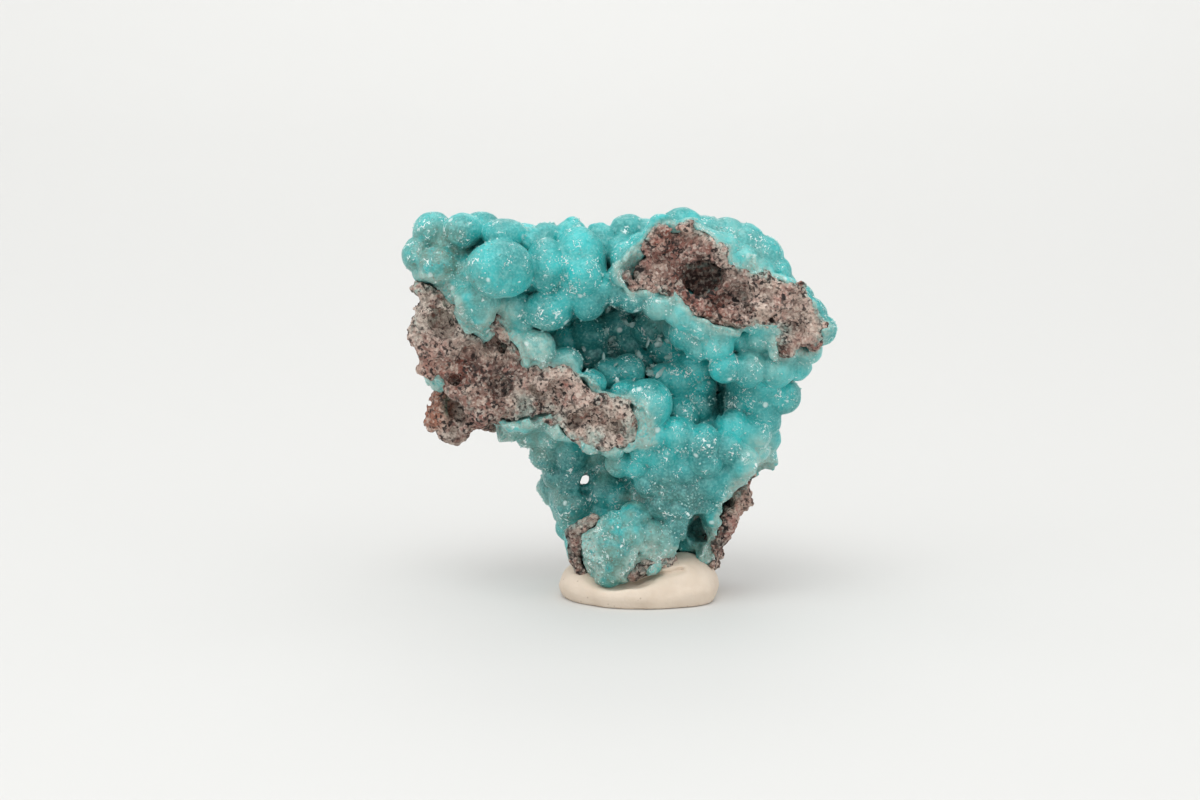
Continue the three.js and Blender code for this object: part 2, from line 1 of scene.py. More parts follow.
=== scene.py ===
"""A hand specimen of blue hemimorphite on iron-stained rock, standing in a pad of display putty.

The rock and its crust are grown as fields of distance, sampled on a grid of GRID_STEP millimetres,
and the putty as one on a grid of its own. The skin of each field is its mesh. Places in the tables
are read from the specimen's front elevation as (across, up, back), in millimetres, and half sizes
in the same order. Meshes are in metres.
"""

import logging
import math

import bpy
import numpy as np
import openvdb
from dataclasses import dataclass, field
from enum import Enum
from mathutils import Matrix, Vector


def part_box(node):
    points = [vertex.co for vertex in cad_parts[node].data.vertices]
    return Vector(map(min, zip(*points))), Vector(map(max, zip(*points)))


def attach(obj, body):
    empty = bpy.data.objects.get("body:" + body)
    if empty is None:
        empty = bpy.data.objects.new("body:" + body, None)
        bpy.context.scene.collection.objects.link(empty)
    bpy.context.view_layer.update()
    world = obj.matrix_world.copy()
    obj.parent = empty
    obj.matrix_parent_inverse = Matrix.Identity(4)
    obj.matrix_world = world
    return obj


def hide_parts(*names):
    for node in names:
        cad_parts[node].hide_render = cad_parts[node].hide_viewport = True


log = logging.getLogger("hemimorphite")

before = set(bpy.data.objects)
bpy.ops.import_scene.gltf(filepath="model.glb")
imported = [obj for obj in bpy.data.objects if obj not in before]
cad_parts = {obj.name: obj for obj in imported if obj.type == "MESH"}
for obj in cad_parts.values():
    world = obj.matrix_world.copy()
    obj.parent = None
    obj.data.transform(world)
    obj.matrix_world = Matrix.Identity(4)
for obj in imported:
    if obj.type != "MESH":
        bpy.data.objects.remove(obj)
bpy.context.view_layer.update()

MM = 0.001  # metres in a millimetre
GRID_STEP = 0.2  # mm between samples, which shows relief about half a millimetre wide
GRID_MARGIN = 0.7  # mm of room round the solids
BAND = 3.0  # mm of distance that a field keeps on either side of its skin
TINY = 1e-6  # stands in for 0 where something is divided by it
GOLDEN_SHARE = 3 - math.sqrt(5)  # of half a turn from each place to the next spreads them evenly
FOLD_LEVEL = 0.6  # about the middle of folded noise, taken off so that relief keeps its level

SIGHT = math.radians(10.0)  # how far the front elevation looks down
PUTTY_WIDTH = 19.4
PUTTY_DEPTH = 16.4
PUTTY_THICKNESS = 4.4
PUTTY_RIDGE_TOP = 5.3
SKIN = 1.6  # thickness of the crust between its lumps
MOST_TRIANGLES = 190000  # in one piece

Place = tuple[float, float, float]
Patch = tuple[float, float, float, float]
Array = np.ndarray

# Outlines on the front elevation, as (across, up) points: first the broken rock faces, then the
# regions behind and at the sides that have no crust.
UPPER_LEDGE = [
    (-2.1, 40.4), (0.2, 42.2), (2.2, 45.0), (5.6, 45.3), (6.8, 44.0), (10.1, 42.7), (10.6, 40.9),
    (13.2, 40.3), (15.2, 39.3), (18.6, 38.0), (20.2, 36.2), (21.8, 33.7), (20.2, 31.6), (16.6, 30.6),
    (16.8, 33.8), (12.2, 34.2), (9.0, 34.8), (6.8, 36.0), (4.4, 37.9), (-0.8, 38.2),
]
LEFT_LEDGE = [
    (-26.4, 38.8), (-23.6, 37.8), (-21.4, 33.4), (-18.6, 32.4), (-17.0, 34.6), (-15.6, 32.2),
    (-13.2, 29.4), (-10.4, 28.1), (-8.2, 28.0), (-5.0, 25.3), (-1.6, 24.3), (0.3, 23.6), (1.0, 22.0),
    (0.3, 20.4), (-3.4, 19.4), (-6.6, 20.0), (-9.2, 21.8), (-12.2, 22.8), (-15.4, 22.0),
    (-18.6, 22.6), (-20.2, 24.6), (-24.2, 27.2), (-26.4, 28.4), (-26.8, 32.6), (-25.2, 36.6),
]
FOOT_CHIP = [(-0.9, 3.9), (-0.3, 5.3), (1.5, 6.4), (3.6, 6.1), (2.8, 5.1), (0.9, 4.4)]
FOOT_RIM = [
    (-8.3, 9.2), (-7.2, 10.1), (-5.6, 10.6), (-5.8, 10.1), (-6.9, 9.0), (-7.3, 7.2), (-7.0, 5.2),
    (-6.1, 3.6), (-6.9, 3.0), (-7.9, 4.8), (-8.4, 7.2),
]
RIGHT_RIM = [
    (12.6, 15.0), (13.9, 16.8), (14.6, 17.0), (13.7, 12.7), (12.2, 11.9), (11.4, 9.9), (10.4, 8.5),
    (9.8, 7.6), (9.7, 5.8), (9.4, 4.4), (8.4, 4.8), (8.6, 6.6), (8.9, 7.6), (9.4, 8.6), (9.9, 11.0),
    (11.2, 13.4),
]
BACK_FACE = [
    (-22.0, 38.0), (-24.0, 31.0), (-17.0, 22.0), (-13.4, 17.0), (-11.0, 8.0), (-6.0, 3.0), (6.0, 3.0),
    (12.0, 5.0), (14.8, 13.0), (16.6, 22.0), (19.0, 30.0), (13.0, 36.0), (4.0, 38.0), (-3.0, 36.0),
    (-12.0, 38.6),
]
LEFT_SIDE = [
    (-32.0, 38.4), (-26.6, 38.6), (-25.2, 36.6), (-26.2, 32.6), (-25.6, 28.4), (-23.4, 26.4),
    (-19.6, 24.4), (-16.6, 22.2), (-16.0, 19.0), (-32.0, 19.0),
]
RIGHT_SIDE = [
    (10.9, 12.8), (12.6, 15.0), (13.9, 16.8), (18.0, 17.4), (18.0, 3.0), (8.3, 3.0), (8.5, 5.0),
    (9.0, 7.6), (9.9, 10.8),
]

# The rock's rounded masses: (across, up, back) of the middle, then half sizes the same way.
LOBES = {
    "cap_left": (-20.0, 40.4, 0.8, 4.8, 2.6, 5.2),
    "cap_right": (-11.0, 40.2, 0.8, 6.4, 2.6, 5.2),
    "cap_brow": (-16.6, 39.6, -2.6, 4.2, 1.8, 2.6),
    "cap_root": (-13.6, 37.8, 5.4, 7.0, 4.0, 4.2),
    "crown_middle": (-1.8, 40.6, 1.8, 5.0, 2.2, 5.2),
    "crown_right": (7.2, 40.6, 0.8, 6.2, 2.8, 5.2),
    "crown_root": (7.0, 38.0, 5.4, 8.0, 4.2, 4.2),
    "shoulder": (13.4, 36.2, 1.4, 4.2, 3.2, 5.6),
    "left_wall": (-20.6, 32.2, 0.8, 5.6, 6.2, 5.2),
    "left_root": (-16.4, 31.0, 5.2, 4.0, 6.0, 4.2),
    "left_apron": (-16.0, 26.4, 1.6, 5.4, 4.2, 5.0),
    "septum": (-5.5, 23.8, 1.0, 6.6, 2.0, 5.6),
    "back_upper": (-1.0, 31.4, 8.2, 15.6, 10.6, 3.8),
    "back_lower": (1.0, 20.4, 7.0, 10.6, 8.0, 3.6),
    "back_foot": (1.4, 11.0, 5.0, 7.4, 6.4, 3.4),
    "right_wall": (14.2, 29.6, 2.6, 2.6, 6.4, 5.8),
    "right_flank": (11.6, 20.6, 2.8, 2.2, 4.8, 4.8),
    "sill": (5.4, 19.2, 1.4, 4.6, 3.6, 4.6),
    "sill_lip": (0.4, 22.6, -1.6, 2.0, 1.8, 3.2),
    "belly": (4.4, 13.0, 1.2, 4.2, 3.8, 3.6),
    "recess_floor": (-7.4, 14.4, 5.0, 1.8, 5.0, 2.4),
    "left_foot": (-2.4, 7.6, 0.4, 4.8, 2.5, 4.0),
    "right_foot": (9.0, 9.4, 2.2, 1.5, 4.6, 2.8),
}

# The knob of rock below the left ledge: (across, up, back, radius).
KNOB = [(-22.8, 24.2, 1.2, 2.9), (-22.3, 21.9, 1.2, 1.3)]

# Pits where the broken rock has weathered out: (across, up, back, radius).
PITS = [
    (7.0, 39.8, -7.6, 2.3), (2.0, 40.4, -9.0, 1.1), (12.3, 37.6, -8.4, 1.2), (9.4, 36.6, -8.6, 0.9),
    (18.6, 33.6, -8.2, 1.0), (6.6, 42.8, -8.6, 0.9), (-17.0, 26.6, -5.6, 1.7), (-21.3, 29.8, -4.6, 1.2),
    (-16.4, 30.2, -5.6, 1.0), (-20.2, 27.4, -4.6, 0.9), (-3.9, 21.6, -8.6, 0.9), (-7.6, 22.4, -7.6, 1.0),
    (-12.0, 24.6, -6.6, 0.8), (-22.2, 24.4, -2.6, 1.0), (-23.8, 34.0, -4.2, 0.9),
    (-7.0, 30.0, 12.0, 2.2), (3.0, 24.0, 11.0, 1.8), (9.0, 33.0, 11.6, 1.6), (-2.0, 14.0, 10.6, 1.5),
]

PINHOLE = (-6.5, 15.2, 0.75)  # across, up and radius of the hole through the lower recess

PIT_SHAPE = np.array([1.0, 1.4, 1.0])  # a pit's half sizes, in radii

# Dark nooks between masses of crust: (across, up, back) of the middle, then half sizes.
NOOKS = [
    (7.0, 8.9, -3.2, 1.2, 2.3, 4.4),  # above the right foot
    (9.8, 24.6, -2.2, 1.0, 1.9, 3.4),  # beside the sill
]

# Lumps of the crust, each (across, up, back, radius), by the part of the specimen that they coat.
LUMPS = {
    "cap": [
        (-19.0, 44.9, -0.6, 2.4), (-25.4, 40.2, -2.8, 1.6), (-22.4, 43.2, -2.6, 2.2),
        (-8.2, 44.0, -2.6, 2.2), (-4.9, 38.2, -6.4, 1.8), (-14.8, 36.4, -4.4, 2.2),
        (-13.6, 34.6, -3.8, 1.8), (-20.6, 39.4, -4.4, 2.0), (-12.6, 43.6, -3.6, 1.8),
        (-8.8, 37.2, -5.8, 1.8), (-22.6, 37.6, -3.4, 1.6),
    ],
    "top": [
        (-22.6, 43.4, 3.6, 2.6), (-24.8, 41.2, 3.2, 2.3), (-18.2, 43.6, 4.2, 2.7),
        (-13.8, 43.4, 1.6, 2.6), (-13.8, 42.2, 6.4, 2.5), (-9.6, 42.8, 2.4, 2.6),
        (-5.4, 42.8, 1.6, 2.4), (-7.6, 41.8, 6.6, 2.5), (-20.4, 41.0, 7.6, 2.3), (-1.8, 43.2, 3.4, 2.5),
        (2.2, 43.6, 2.4, 2.4), (6.0, 44.4, 1.2, 2.5), (9.8, 43.6, 1.6, 2.4), (4.4, 42.4, 6.4, 2.6),
        (9.6, 41.8, 6.2, 2.5), (13.2, 41.0, 2.4, 2.4), (16.6, 38.4, 1.4, 2.3), (13.6, 39.0, 6.4, 2.4),
        (-1.4, 41.4, 7.6, 2.4), (18.0, 34.4, 2.6, 2.2),
    ],
    "top_right": [
        (-4.6, 43.8, -2.0, 2.0), (-1.4, 44.8, -1.0, 2.2), (0.9, 44.3, -1.0, 2.2),
        (-2.4, 42.4, -3.6, 2.0), (5.0, 45.0, -3.6, 2.6), (7.7, 44.5, -3.2, 2.3),
        (10.2, 44.3, -3.0, 2.3), (12.3, 43.5, -3.0, 2.4), (14.3, 41.9, -3.2, 2.5),
        (15.8, 40.1, -3.6, 2.0), (18.6, 37.0, -4.0, 1.9), (20.3, 35.4, -4.6, 1.7),
        (21.6, 33.4, -5.6, 1.6), (2.9, 44.4, -4.6, 1.8), (0.3, 42.9, -5.0, 1.8), (-1.6, 41.6, -5.6, 1.9),
        (-2.3, 39.6, -6.0, 1.6), (12.0, 41.6, -5.8, 1.8), (9.0, 43.2, -6.0, 1.5),
        (14.2, 40.2, -5.8, 1.5),
    ],
    "ledge_underside": [
        (-2.4, 37.9, -6.0, 1.7), (-0.8, 37.2, -6.4, 1.7), (2.2, 36.5, -6.8, 1.9), (5.4, 35.2, -7.0, 2.0),
        (7.4, 34.2, -7.0, 1.9), (9.7, 33.8, -6.6, 2.2), (9.1, 31.7, -6.4, 1.9), (5.4, 33.0, -5.0, 1.9),
        (6.9, 31.4, -5.4, 1.6), (14.0, 32.7, -5.0, 1.9), (12.2, 32.2, -4.4, 1.7),
        (17.4, 30.8, -4.6, 1.6), (19.8, 31.0, -4.6, 1.7), (18.6, 29.4, -3.6, 1.8),
        (10.1, 29.0, -6.0, 1.8), (12.8, 28.8, -5.4, 2.1), (16.3, 28.5, -5.0, 1.9),
        (14.8, 30.6, -3.4, 1.8),
    ],
    "right_wall": [
        (17.0, 25.6, -2.0, 2.1), (15.4, 26.6, -2.0, 2.2), (14.4, 24.7, -1.8, 2.3),
        (12.2, 24.4, -1.0, 2.0), (15.0, 22.6, -2.4, 1.9), (11.1, 21.9, -4.0, 1.9),
        (13.6, 20.9, -3.6, 2.1), (13.8, 19.0, -3.2, 1.7), (10.2, 19.3, -5.6, 1.9),
        (12.2, 17.6, -5.0, 2.1), (12.4, 15.6, -3.8, 1.8),
    ],
    "sill": [
        (0.9, 24.6, -6.4, 2.7), (-1.6, 25.4, -5.0, 1.9), (4.6, 27.5, -1.2, 2.1), (3.0, 27.6, -1.2, 1.8),
        (7.1, 26.3, 0.4, 2.1), (7.0, 24.3, -0.8, 2.1), (5.0, 23.2, -3.2, 1.9), (4.6, 20.9, -6.0, 2.1),
        (7.4, 19.9, -6.4, 2.1), (7.8, 17.8, -6.4, 1.9), (2.8, 18.3, -5.6, 2.0), (1.4, 20.9, -6.0, 2.0),
        (0.4, 19.1, -6.2, 1.5), (5.2, 18.4, -5.2, 1.6),
    ],
    "lower_front": [
        (-2.4, 17.5, -4.6, 1.6), (-0.5, 17.2, -5.0, 1.6), (2.9, 16.6, -5.4, 2.0), (5.6, 16.6, -5.4, 1.9),
        (1.2, 15.2, -4.6, 1.8), (3.4, 14.5, -4.8, 1.9), (5.7, 14.1, -5.0, 1.9), (7.8, 15.2, -5.0, 1.9),
        (9.6, 16.2, -4.8, 1.8), (9.8, 14.0, -4.2, 1.8), (11.1, 15.2, -3.8, 1.7), (2.6, 12.5, -4.6, 1.8),
        (5.0, 11.9, -4.8, 1.8), (4.5, 10.0, -4.8, 1.7), (7.2, 12.7, -4.0, 1.7), (8.9, 11.6, -3.0, 1.8),
        (9.2, 9.6, -1.6, 1.5), (8.5, 6.9, -1.4, 1.5),
    ],
    "left_foot": [
        (-0.6, 11.0, -5.4, 1.8), (-2.6, 9.9, -5.0, 1.8), (-0.9, 8.9, -6.0, 1.8), (1.4, 9.0, -5.4, 1.7),
        (3.0, 8.4, -5.2, 1.7), (-4.4, 8.6, -4.6, 2.0), (-5.4, 6.9, -4.8, 1.9), (-3.2, 6.9, -5.8, 2.0),
        (-5.2, 5.6, -5.0, 1.9), (-3.6, 4.5, -5.2, 1.9), (-1.4, 6.6, -6.0, 1.8), (-1.6, 4.9, -5.6, 1.5),
        (0.6, 7.3, -5.8, 1.5),
    ],
    "recess": [
        (-8.0, 12.3, 2.0, 2.4), (-8.2, 9.7, 2.4, 1.8), (-3.9, 14.1, 2.0, 2.3), (-2.2, 13.2, 0.8, 1.8),
        (-4.2, 16.7, 2.8, 1.5), (-8.3, 18.5, 1.8, 2.1), (-11.2, 18.5, 2.2, 2.0), (-5.2, 18.6, 3.0, 1.9),
        (-10.0, 15.9, 3.2, 1.7), (-11.0, 21.0, 0.6, 1.8), (-13.4, 21.0, 1.2, 1.6),
    ],
    "ledge_rim": [
        (-14.9, 32.0, -4.8, 1.7), (-12.3, 31.2, -5.6, 2.1), (-8.8, 29.4, -4.6, 1.8),
        (-5.6, 27.0, -5.6, 1.5), (-6.0, 20.2, -7.0, 1.3), (-3.2, 19.4, -7.0, 1.3),
        (-9.6, 21.6, -5.6, 1.3), (-13.4, 22.6, -4.8, 1.4),
    ],
    "pocket": [
        (-6.0, 33.0, 2.0, 2.2), (-5.8, 30.6, 2.4, 2.1), (-9.0, 32.2, 2.6, 2.0), (-1.4, 28.6, -1.6, 1.9),
        (-3.6, 28.2, -1.6, 1.8), (-1.1, 31.8, 3.4, 1.8), (0.4, 29.6, 3.2, 1.8), (1.3, 33.6, 2.4, 2.1),
        (3.2, 31.4, 1.8, 2.0), (-2.6, 34.2, 3.6, 2.0), (4.8, 29.6, 0.6, 1.7), (6.8, 29.2, -0.8, 1.8),
        (-8.6, 28.4, 3.4, 1.9), (-5.4, 26.8, 3.4, 1.9), (-2.6, 26.4, 1.0, 1.8), (4.8, 34.0, 0.0, 2.0),
        (2.0, 25.9, 3.0, 2.0),
    ],
}

# Broad domes of the crust on the cap and the left foot: (across, up, back) of the middle, then
# half sizes the same way.
DOMES = [
    (-20.9, 45.2, -3.8, 2.4, 2.1, 2.4), (-24.7, 45.2, -1.0, 2.4, 2.4, 2.6),
    (-26.5, 42.4, -1.8, 1.9, 2.2, 2.4), (-23.8, 41.1, -4.4, 2.6, 2.4, 2.6),
    (-16.5, 40.5, -7.4, 4.1, 3.5, 3.4), (-16.2, 44.7, -4.0, 2.7, 1.9, 2.6),
    (-11.2, 44.4, -2.6, 1.9, 1.8, 2.2), (-11.1, 41.0, -5.9, 2.4, 3.3, 2.8),
    (-7.2, 40.6, -5.0, 3.4, 5.1, 3.0), (-6.6, 39.6, -7.4, 2.1, 2.3, 1.8),
    (-19.4, 36.7, -5.8, 3.1, 2.5, 2.4), (-18.6, 35.0, -6.4, 1.6, 1.7, 1.6),
    (-10.9, 35.8, -5.6, 3.0, 2.5, 2.4), (-6.2, 36.6, -6.0, 2.0, 2.2, 2.2),
    (-3.4, 5.6, -4.6, 3.4, 2.9, 2.8), (0.4, 5.9, -4.2, 2.8, 1.9, 2.6), (2.4, 7.0, -4.0, 1.9, 1.5, 2.4),
    (-5.2, 7.4, -4.0, 2.4, 2.4, 2.8), (-0.9, 10.6, -5.2, 1.6, 1.9, 2.0),
]

# Where the crust's colour drifts: (across, up, radius, strength) of each patch. The depth patches are
# painted shade, darker in the pocket, the nooks and the lower front.
TINTS = {
    "grime": [
        (-24.0, 42.0, 4.5, 1.0), (-20.5, 37.5, 3.4, 0.6), (-3.6, 6.5, 5.4, 1.0), (1.0, 8.5, 3.0, 0.8),
        (-9.0, 10.5, 3.0, 0.7), (-1.0, 12.6, 1.8, 0.9), (-4.6, 17.0, 2.4, 0.7), (3.0, 12.0, 5.0, 0.35),
        (8.4, 7.4, 2.4, 1.0), (-13.2, 19.4, 3.2, 0.9), (-10.4, 13.0, 2.4, 0.7),
    ],
    "bleach": [
        (-12.6, 31.2, 2.8, 1.3), (-16.5, 35.0, 2.4, 0.9), (3.0, 36.0, 3.0, 0.7), (8.0, 33.5, 3.0, 0.6),
        (15.5, 30.5, 3.4, 0.6), (-11.0, 21.6, 3.6, 0.8), (-4.0, 19.6, 2.6, 0.7), (14.4, 18.6, 2.4, 1.0),
        (1.6, 7.6, 2.4, 0.7), (-12.8, 20.0, 2.2, 0.8), (10.5, 44.0, 3.0, 0.5), (13.6, 41.0, 2.6, 0.5),
        (-8.6, 29.4, 1.6, 0.8), (-1.8, 40.0, 2.0, 0.7), (20.4, 31.0, 2.4, 0.6), (12.6, 14.6, 2.0, 0.7),
        (0.6, 24.0, 2.0, 0.4),
    ],
    "depth": [
        (-3.0, 33.0, 6.5, 0.75), (-8.6, 15.4, 5.0, 0.75), (9.6, 24.8, 2.2, 1.0), (3.6, 12.6, 5.4, 0.85),
        (8.0, 16.4, 4.6, 0.55), (7.0, 9.0, 2.0, 1.0), (2.6, 28.6, 4.0, 0.4), (-3.0, 6.0, 4.0, 0.5),
    ],
}

# Where the rock's colour drifts, in patches like those: dark brown at its pits and nooks, blue-green
# verdigris, pale ash and red iron oxide.
ROCK_TINTS = {
    "hollow_brown": [
        (7.0, 39.8, 3.0, 1.0), (3.6, 40.2, 3.0, 0.55), (9.6, 38.0, 3.2, 0.5), (-17.4, 28.0, 4.2, 0.8),
        (-20.6, 30.6, 3.0, 0.35), (-21.6, 26.4, 2.0, 0.4), (19.0, 33.8, 2.4, 0.3), (8.6, 7.6, 2.4, 0.7),
        (-7.8, 6.8, 3.4, 0.6), (1.4, 5.0, 2.6, 0.45),
    ],
    "verdigris": [
        (-0.4, 5.4, 1.4, 0.7), (3.4, 6.4, 1.2, 0.6), (-6.4, 9.6, 1.4, 0.5),
        (-14.0, 23.6, 2.4, 0.8), (-10.6, 22.6, 2.0, 0.7), (-0.6, 21.4, 2.0, 0.8), (-5.6, 20.4, 1.6, 0.8),
        (-19.6, 33.4, 1.6, 0.8), (-22.4, 24.6, 1.4, 0.6), (16.8, 33.0, 1.4, 0.7), (-0.6, 40.2, 1.4, 0.8),
        (-16.8, 22.6, 1.8, 0.6),
    ],
    "ash": [
        (-8.6, 24.6, 4.4, 0.6), (-3.0, 21.8, 4.4, 0.9), (-12.4, 26.4, 2.6, 0.6), (-24.0, 34.6, 4.4, 1.0),
        (-22.8, 22.6, 2.8, 1.0), (13.0, 37.0, 3.0, 0.5), (19.0, 35.4, 2.6, 0.4), (10.0, 41.6, 2.4, 0.5),
        (2.0, 38.4, 2.4, 0.4),
    ],
    "oxide": [
        (4.6, 37.8, 3.4, 0.8), (8.4, 36.0, 3.0, 0.7), (-22.4, 27.2, 3.4, 0.8), (4.0, 43.6, 2.4, 0.6),
        (-18.4, 24.0, 3.0, 0.6), (-24.6, 30.6, 2.6, 0.5), (12.6, 15.6, 2.4, 0.4), (1.6, 40.8, 2.6, 0.5),
    ],
}


def place(across: float, up: float, back: float) -> Array:
    """Takes a place on the front elevation to the specimen's own frame.

    Args:
        across: Distance to the right of the putty's middle, in mm.
        up: Height above the foot line as the elevation shows it, in mm.
        back: True depth behind the putty's middle, in mm.

    Returns:
        The place as (x, y, z), in mm.
    """
    lift = up / math.cos(SIGHT) - (back + PUTTY_DEPTH / 2) * math.tan(SIGHT)
    return np.array([across, back, lift])


def height_seen(y: Array, z: Array) -> Array:
    """How high places of the specimen's own frame stand on the front elevation, in mm."""
    return (z + (y + PUTTY_DEPTH / 2) * math.tan(SIGHT)) * math.cos(SIGHT)


def half_sizes(across: float, up: float, back: float) -> Array:
    """Half sizes in the order of the specimen's own frame."""
    return np.array([across, back, up])


def smooth_step(low: float, high: float, value: Array) -> Array:
    """Runs smoothly from 0 at low to 1 at high."""
    t = np.clip((value - low) / (high - low), 0, 1)
    return t * t * (3 - 2 * t)


def smooth_min(a: Array, b: Array, blend: float) -> Array:
    """The lower of two fields, with their crease rounded over blend mm."""
    h = np.clip(blend - np.abs(a - b), 0, None) / blend
    return np.minimum(a, b) - h * h * blend / 4


def smooth_max(a: Array, b: Array, blend: float) -> Array:
    """The higher of two fields, with their edge rounded over blend mm."""
    return -smooth_min(-a, -b, blend)


@dataclass(frozen=True)
class Ripple:
    """One layer of relief in a field."""

    height: float  # mm that the skin sinks where the noise is 1
    wave: float  # mm between its bumps
    seed: int
    folded: bool = False  # folded noise has sharp creases, as torn rock does


Ripples = tuple[Ripple, ...]


class Grid:
    """A box of evenly spaced samples that fields of distance are kept on."""

    def __init__(self, low: Array, high: Array, step: float) -> None:
        """Lays the samples out.

        Args:
            low: The box's lowest corner, in mm.
            high: The box's highest corner, in mm.
            step: Distance between samples, in mm.
        """
        self.low = low
        self.step = step
        self.shape = tuple(int(n) for n in np.ceil((high - low) / step))
        self.axes = [low[k] + step * np.arange(self.shape[k], dtype=np.float32) for k in range(3)]
        self.x, self.y, self.z = np.meshgrid(*self.axes, indexing="ij", sparse=True)
        self.up = height_seen(self.y, self.z)

    def window(self, middle: Array, reach: Array) -> tuple[slice, slice, slice]:
        """Finds the part of the grid within reach of a middle.

        Args:
            middle: The part's middle, in mm.
            reach: How far it runs from there along each axis, in mm.

        Returns:
            The part as three slices.
        """
        first = np.floor((middle - reach - self.low) / self.step).astype(int)
        last = np.ceil((middle + reach - self.low) / self.step).astype(int) + 1
        return tuple(slice(max(0, a), max(0, b)) for a, b in zip(first, last))

    def empty(self) -> Array:
        """A field with nothing in it."""
        return np.full(self.shape, BAND, np.float32)

    def ellipsoid(self, middle: Array, half: Array, near: tuple[slice, slice, slice]) -> Array:
        """Measures the distance to an ellipsoid.

        Args:
            middle: Its middle, in mm.
            half: Its half sizes, in mm.
            near: The part of the grid to measure on.

        Returns:
            The distance at each sample of that part, in mm, less than 0 inside.
        """
        steps = [axis[part] - c for axis, part, c in zip(self.axes, near, middle)]
        x, y, z = np.meshgrid(*steps, indexing="ij", sparse=True)
        k0 = np.sqrt((x / half[0]) ** 2 + (y / half[1]) ** 2 + (z / half[2]) ** 2)
        k1 = np.sqrt((x / half[0] ** 2) ** 2 + (y / half[1] ** 2) ** 2 + (z / half[2] ** 2) ** 2)
        return k0 * (k0 - 1) / np.maximum(k1, TINY)

    def noise(self, wave: float, seed: int) -> Array:
        """Makes smooth noise of about unit size over the whole grid.

        Args:
            wave: Distance between its bumps, in mm.
            seed: Chooses one pattern.

        Returns:
            The noise at every sample.
        """
        random = np.random.default_rng(seed)
        weights = [self._spline(axis, wave) for axis in self.axes]
        knots = random.standard_normal([w.shape[1] for w in weights]).astype(np.float32)
        made = np.tensordot(weights[0], knots, (1, 0))
        made = np.einsum("jb,abc->ajc", weights[1], made, optimize=True)
        made = made @ weights[2].T
        few = made[::4, ::4, ::4]  # enough of the samples to judge its size by
        return made / few.std()

    def ripples(self, layers: Ripples) -> Array:
        """Adds up layers of relief over the whole grid.

        Args:
            layers: The layers.

        Returns:
            Their sum at every sample, in mm.
        """
        made = 0.0
        for layer in layers:
            noise = self.noise(layer.wave, layer.seed)
            if layer.folded:
                noise = np.abs(noise) - FOLD_LEVEL
            made = made + layer.height * noise
        return made

    @staticmethod
    def _spline(axis: Array, wave: float) -> Array:
        """Works out how much each knot of a cubic B-spline counts at each sample along one axis.

        Args:
            axis: The samples' places, in mm.
            wave: Distance between knots, in mm.

        Returns:
            The weights, with a row for each sample and a column for each knot.
        """
        t = (axis - axis[0]) / wave
        base = np.floor(t).astype(int)
        f = (t - base).astype(np.float32)
        weights = np.zeros((len(axis), base[-1] + 4), np.float32)
        rows = np.arange(len(axis))
        weights[rows, base] = (1 - f) ** 3 / 6
        weights[rows, base + 1] = (3 * f**3 - 6 * f**2 + 4) / 6
        weights[rows, base + 2] = (-3 * f**3 + 3 * f**2 + 3 * f + 1) / 6
        weights[rows, base + 3] = f**3 / 6
        return weights

    def outline(self, points: list[tuple[float, float]]) -> Array:
        """Measures the distance to an outline on the front elevation, over the whole grid.

        Args:
            points: The outline's corners, as (across, up).

        Returns:
            The distance at every sample, in mm, less than 0 inside the outline.
        """
        corner = np.array(points, np.float32)
        pixel = self.step / 2
        first = corner.min(0) - BAND
        count = np.ceil((corner.max(0) + BAND - first) / pixel).astype(int) + 2
        across = (first[0] + pixel * np.arange(count[0]))[:, None]
        up = (first[1] + pixel * np.arange(count[1]))[None, :]
        nearest = np.full(count, np.inf)
        inside = np.zeros(count, bool)
        for a, b in zip(corner, np.roll(corner, -1, 0)):
            run = b - a
            t = ((across - a[0]) * run[0] + (up - a[1]) * run[1]) / (run @ run)
            t = np.clip(t, 0, 1)
            away = np.hypot(across - a[0] - t * run[0], up - a[1] - t * run[1])
            nearest = np.minimum(nearest, away)
            crosses = (a[1] > up) != (b[1] > up)
            inside ^= crosses & (across < run[0] * (up - a[1]) / (run[1] or TINY) + a[0])
        flat = np.where(inside, -nearest, nearest).astype(np.float32)
        rows = np.clip((self.axes[0] - first[0]) / pixel, 0, count[0] - 1.001)
        columns = np.clip((self.up - first[1]) / pixel, 0, count[1] - 1.001)
        column = columns.astype(np.int32)
        share = columns - column
        row = np.round(rows).astype(np.int32)[:, None, None]
        return flat[row, column] * (1 - share) + flat[row, column + 1] * share

    def creases(self, line: tuple[tuple[float, float], ...]) -> Array:
        """Measures the distance to an open line on the front elevation, over the whole grid.

        Args:
            line: The line's corners, as (across, up).

        Returns:
            The distance at every sample, in mm.
        """
        made = np.full(self.shape, np.inf, np.float32)
        for start, end in zip(line, line[1:]):
            run = np.subtract(end, start)
            t = ((self.x - start[0]) * run[0] + (self.up - start[1]) * run[1]) / (run @ run)
            t = np.clip(t, 0, 1)
            away = np.hypot(self.x - start[0] - t * run[0], self.up - start[1] - t * run[1])
            made = np.minimum(made, away)
        return made

    def sample(self, values: Array, points: Array) -> Array:
        """Reads a field at any points, evenly weighted between the samples round each.

        Args:
            values: The field.
            points: Places to read it at, in mm.

        Returns:
            Its value at each of them.
        """
        at = np.clip((points - self.low) / self.step, 0, np.array(self.shape) - 1.001)
        base = at.astype(np.int32)
        f = at - base
        made = np.zeros(len(points))
        for corner in np.ndindex(2, 2, 2):
            share = np.prod(np.where(corner, f, 1 - f), axis=1)
            i, j, k = (base + corner).T
            made += share * values[i, j, k]
        return made

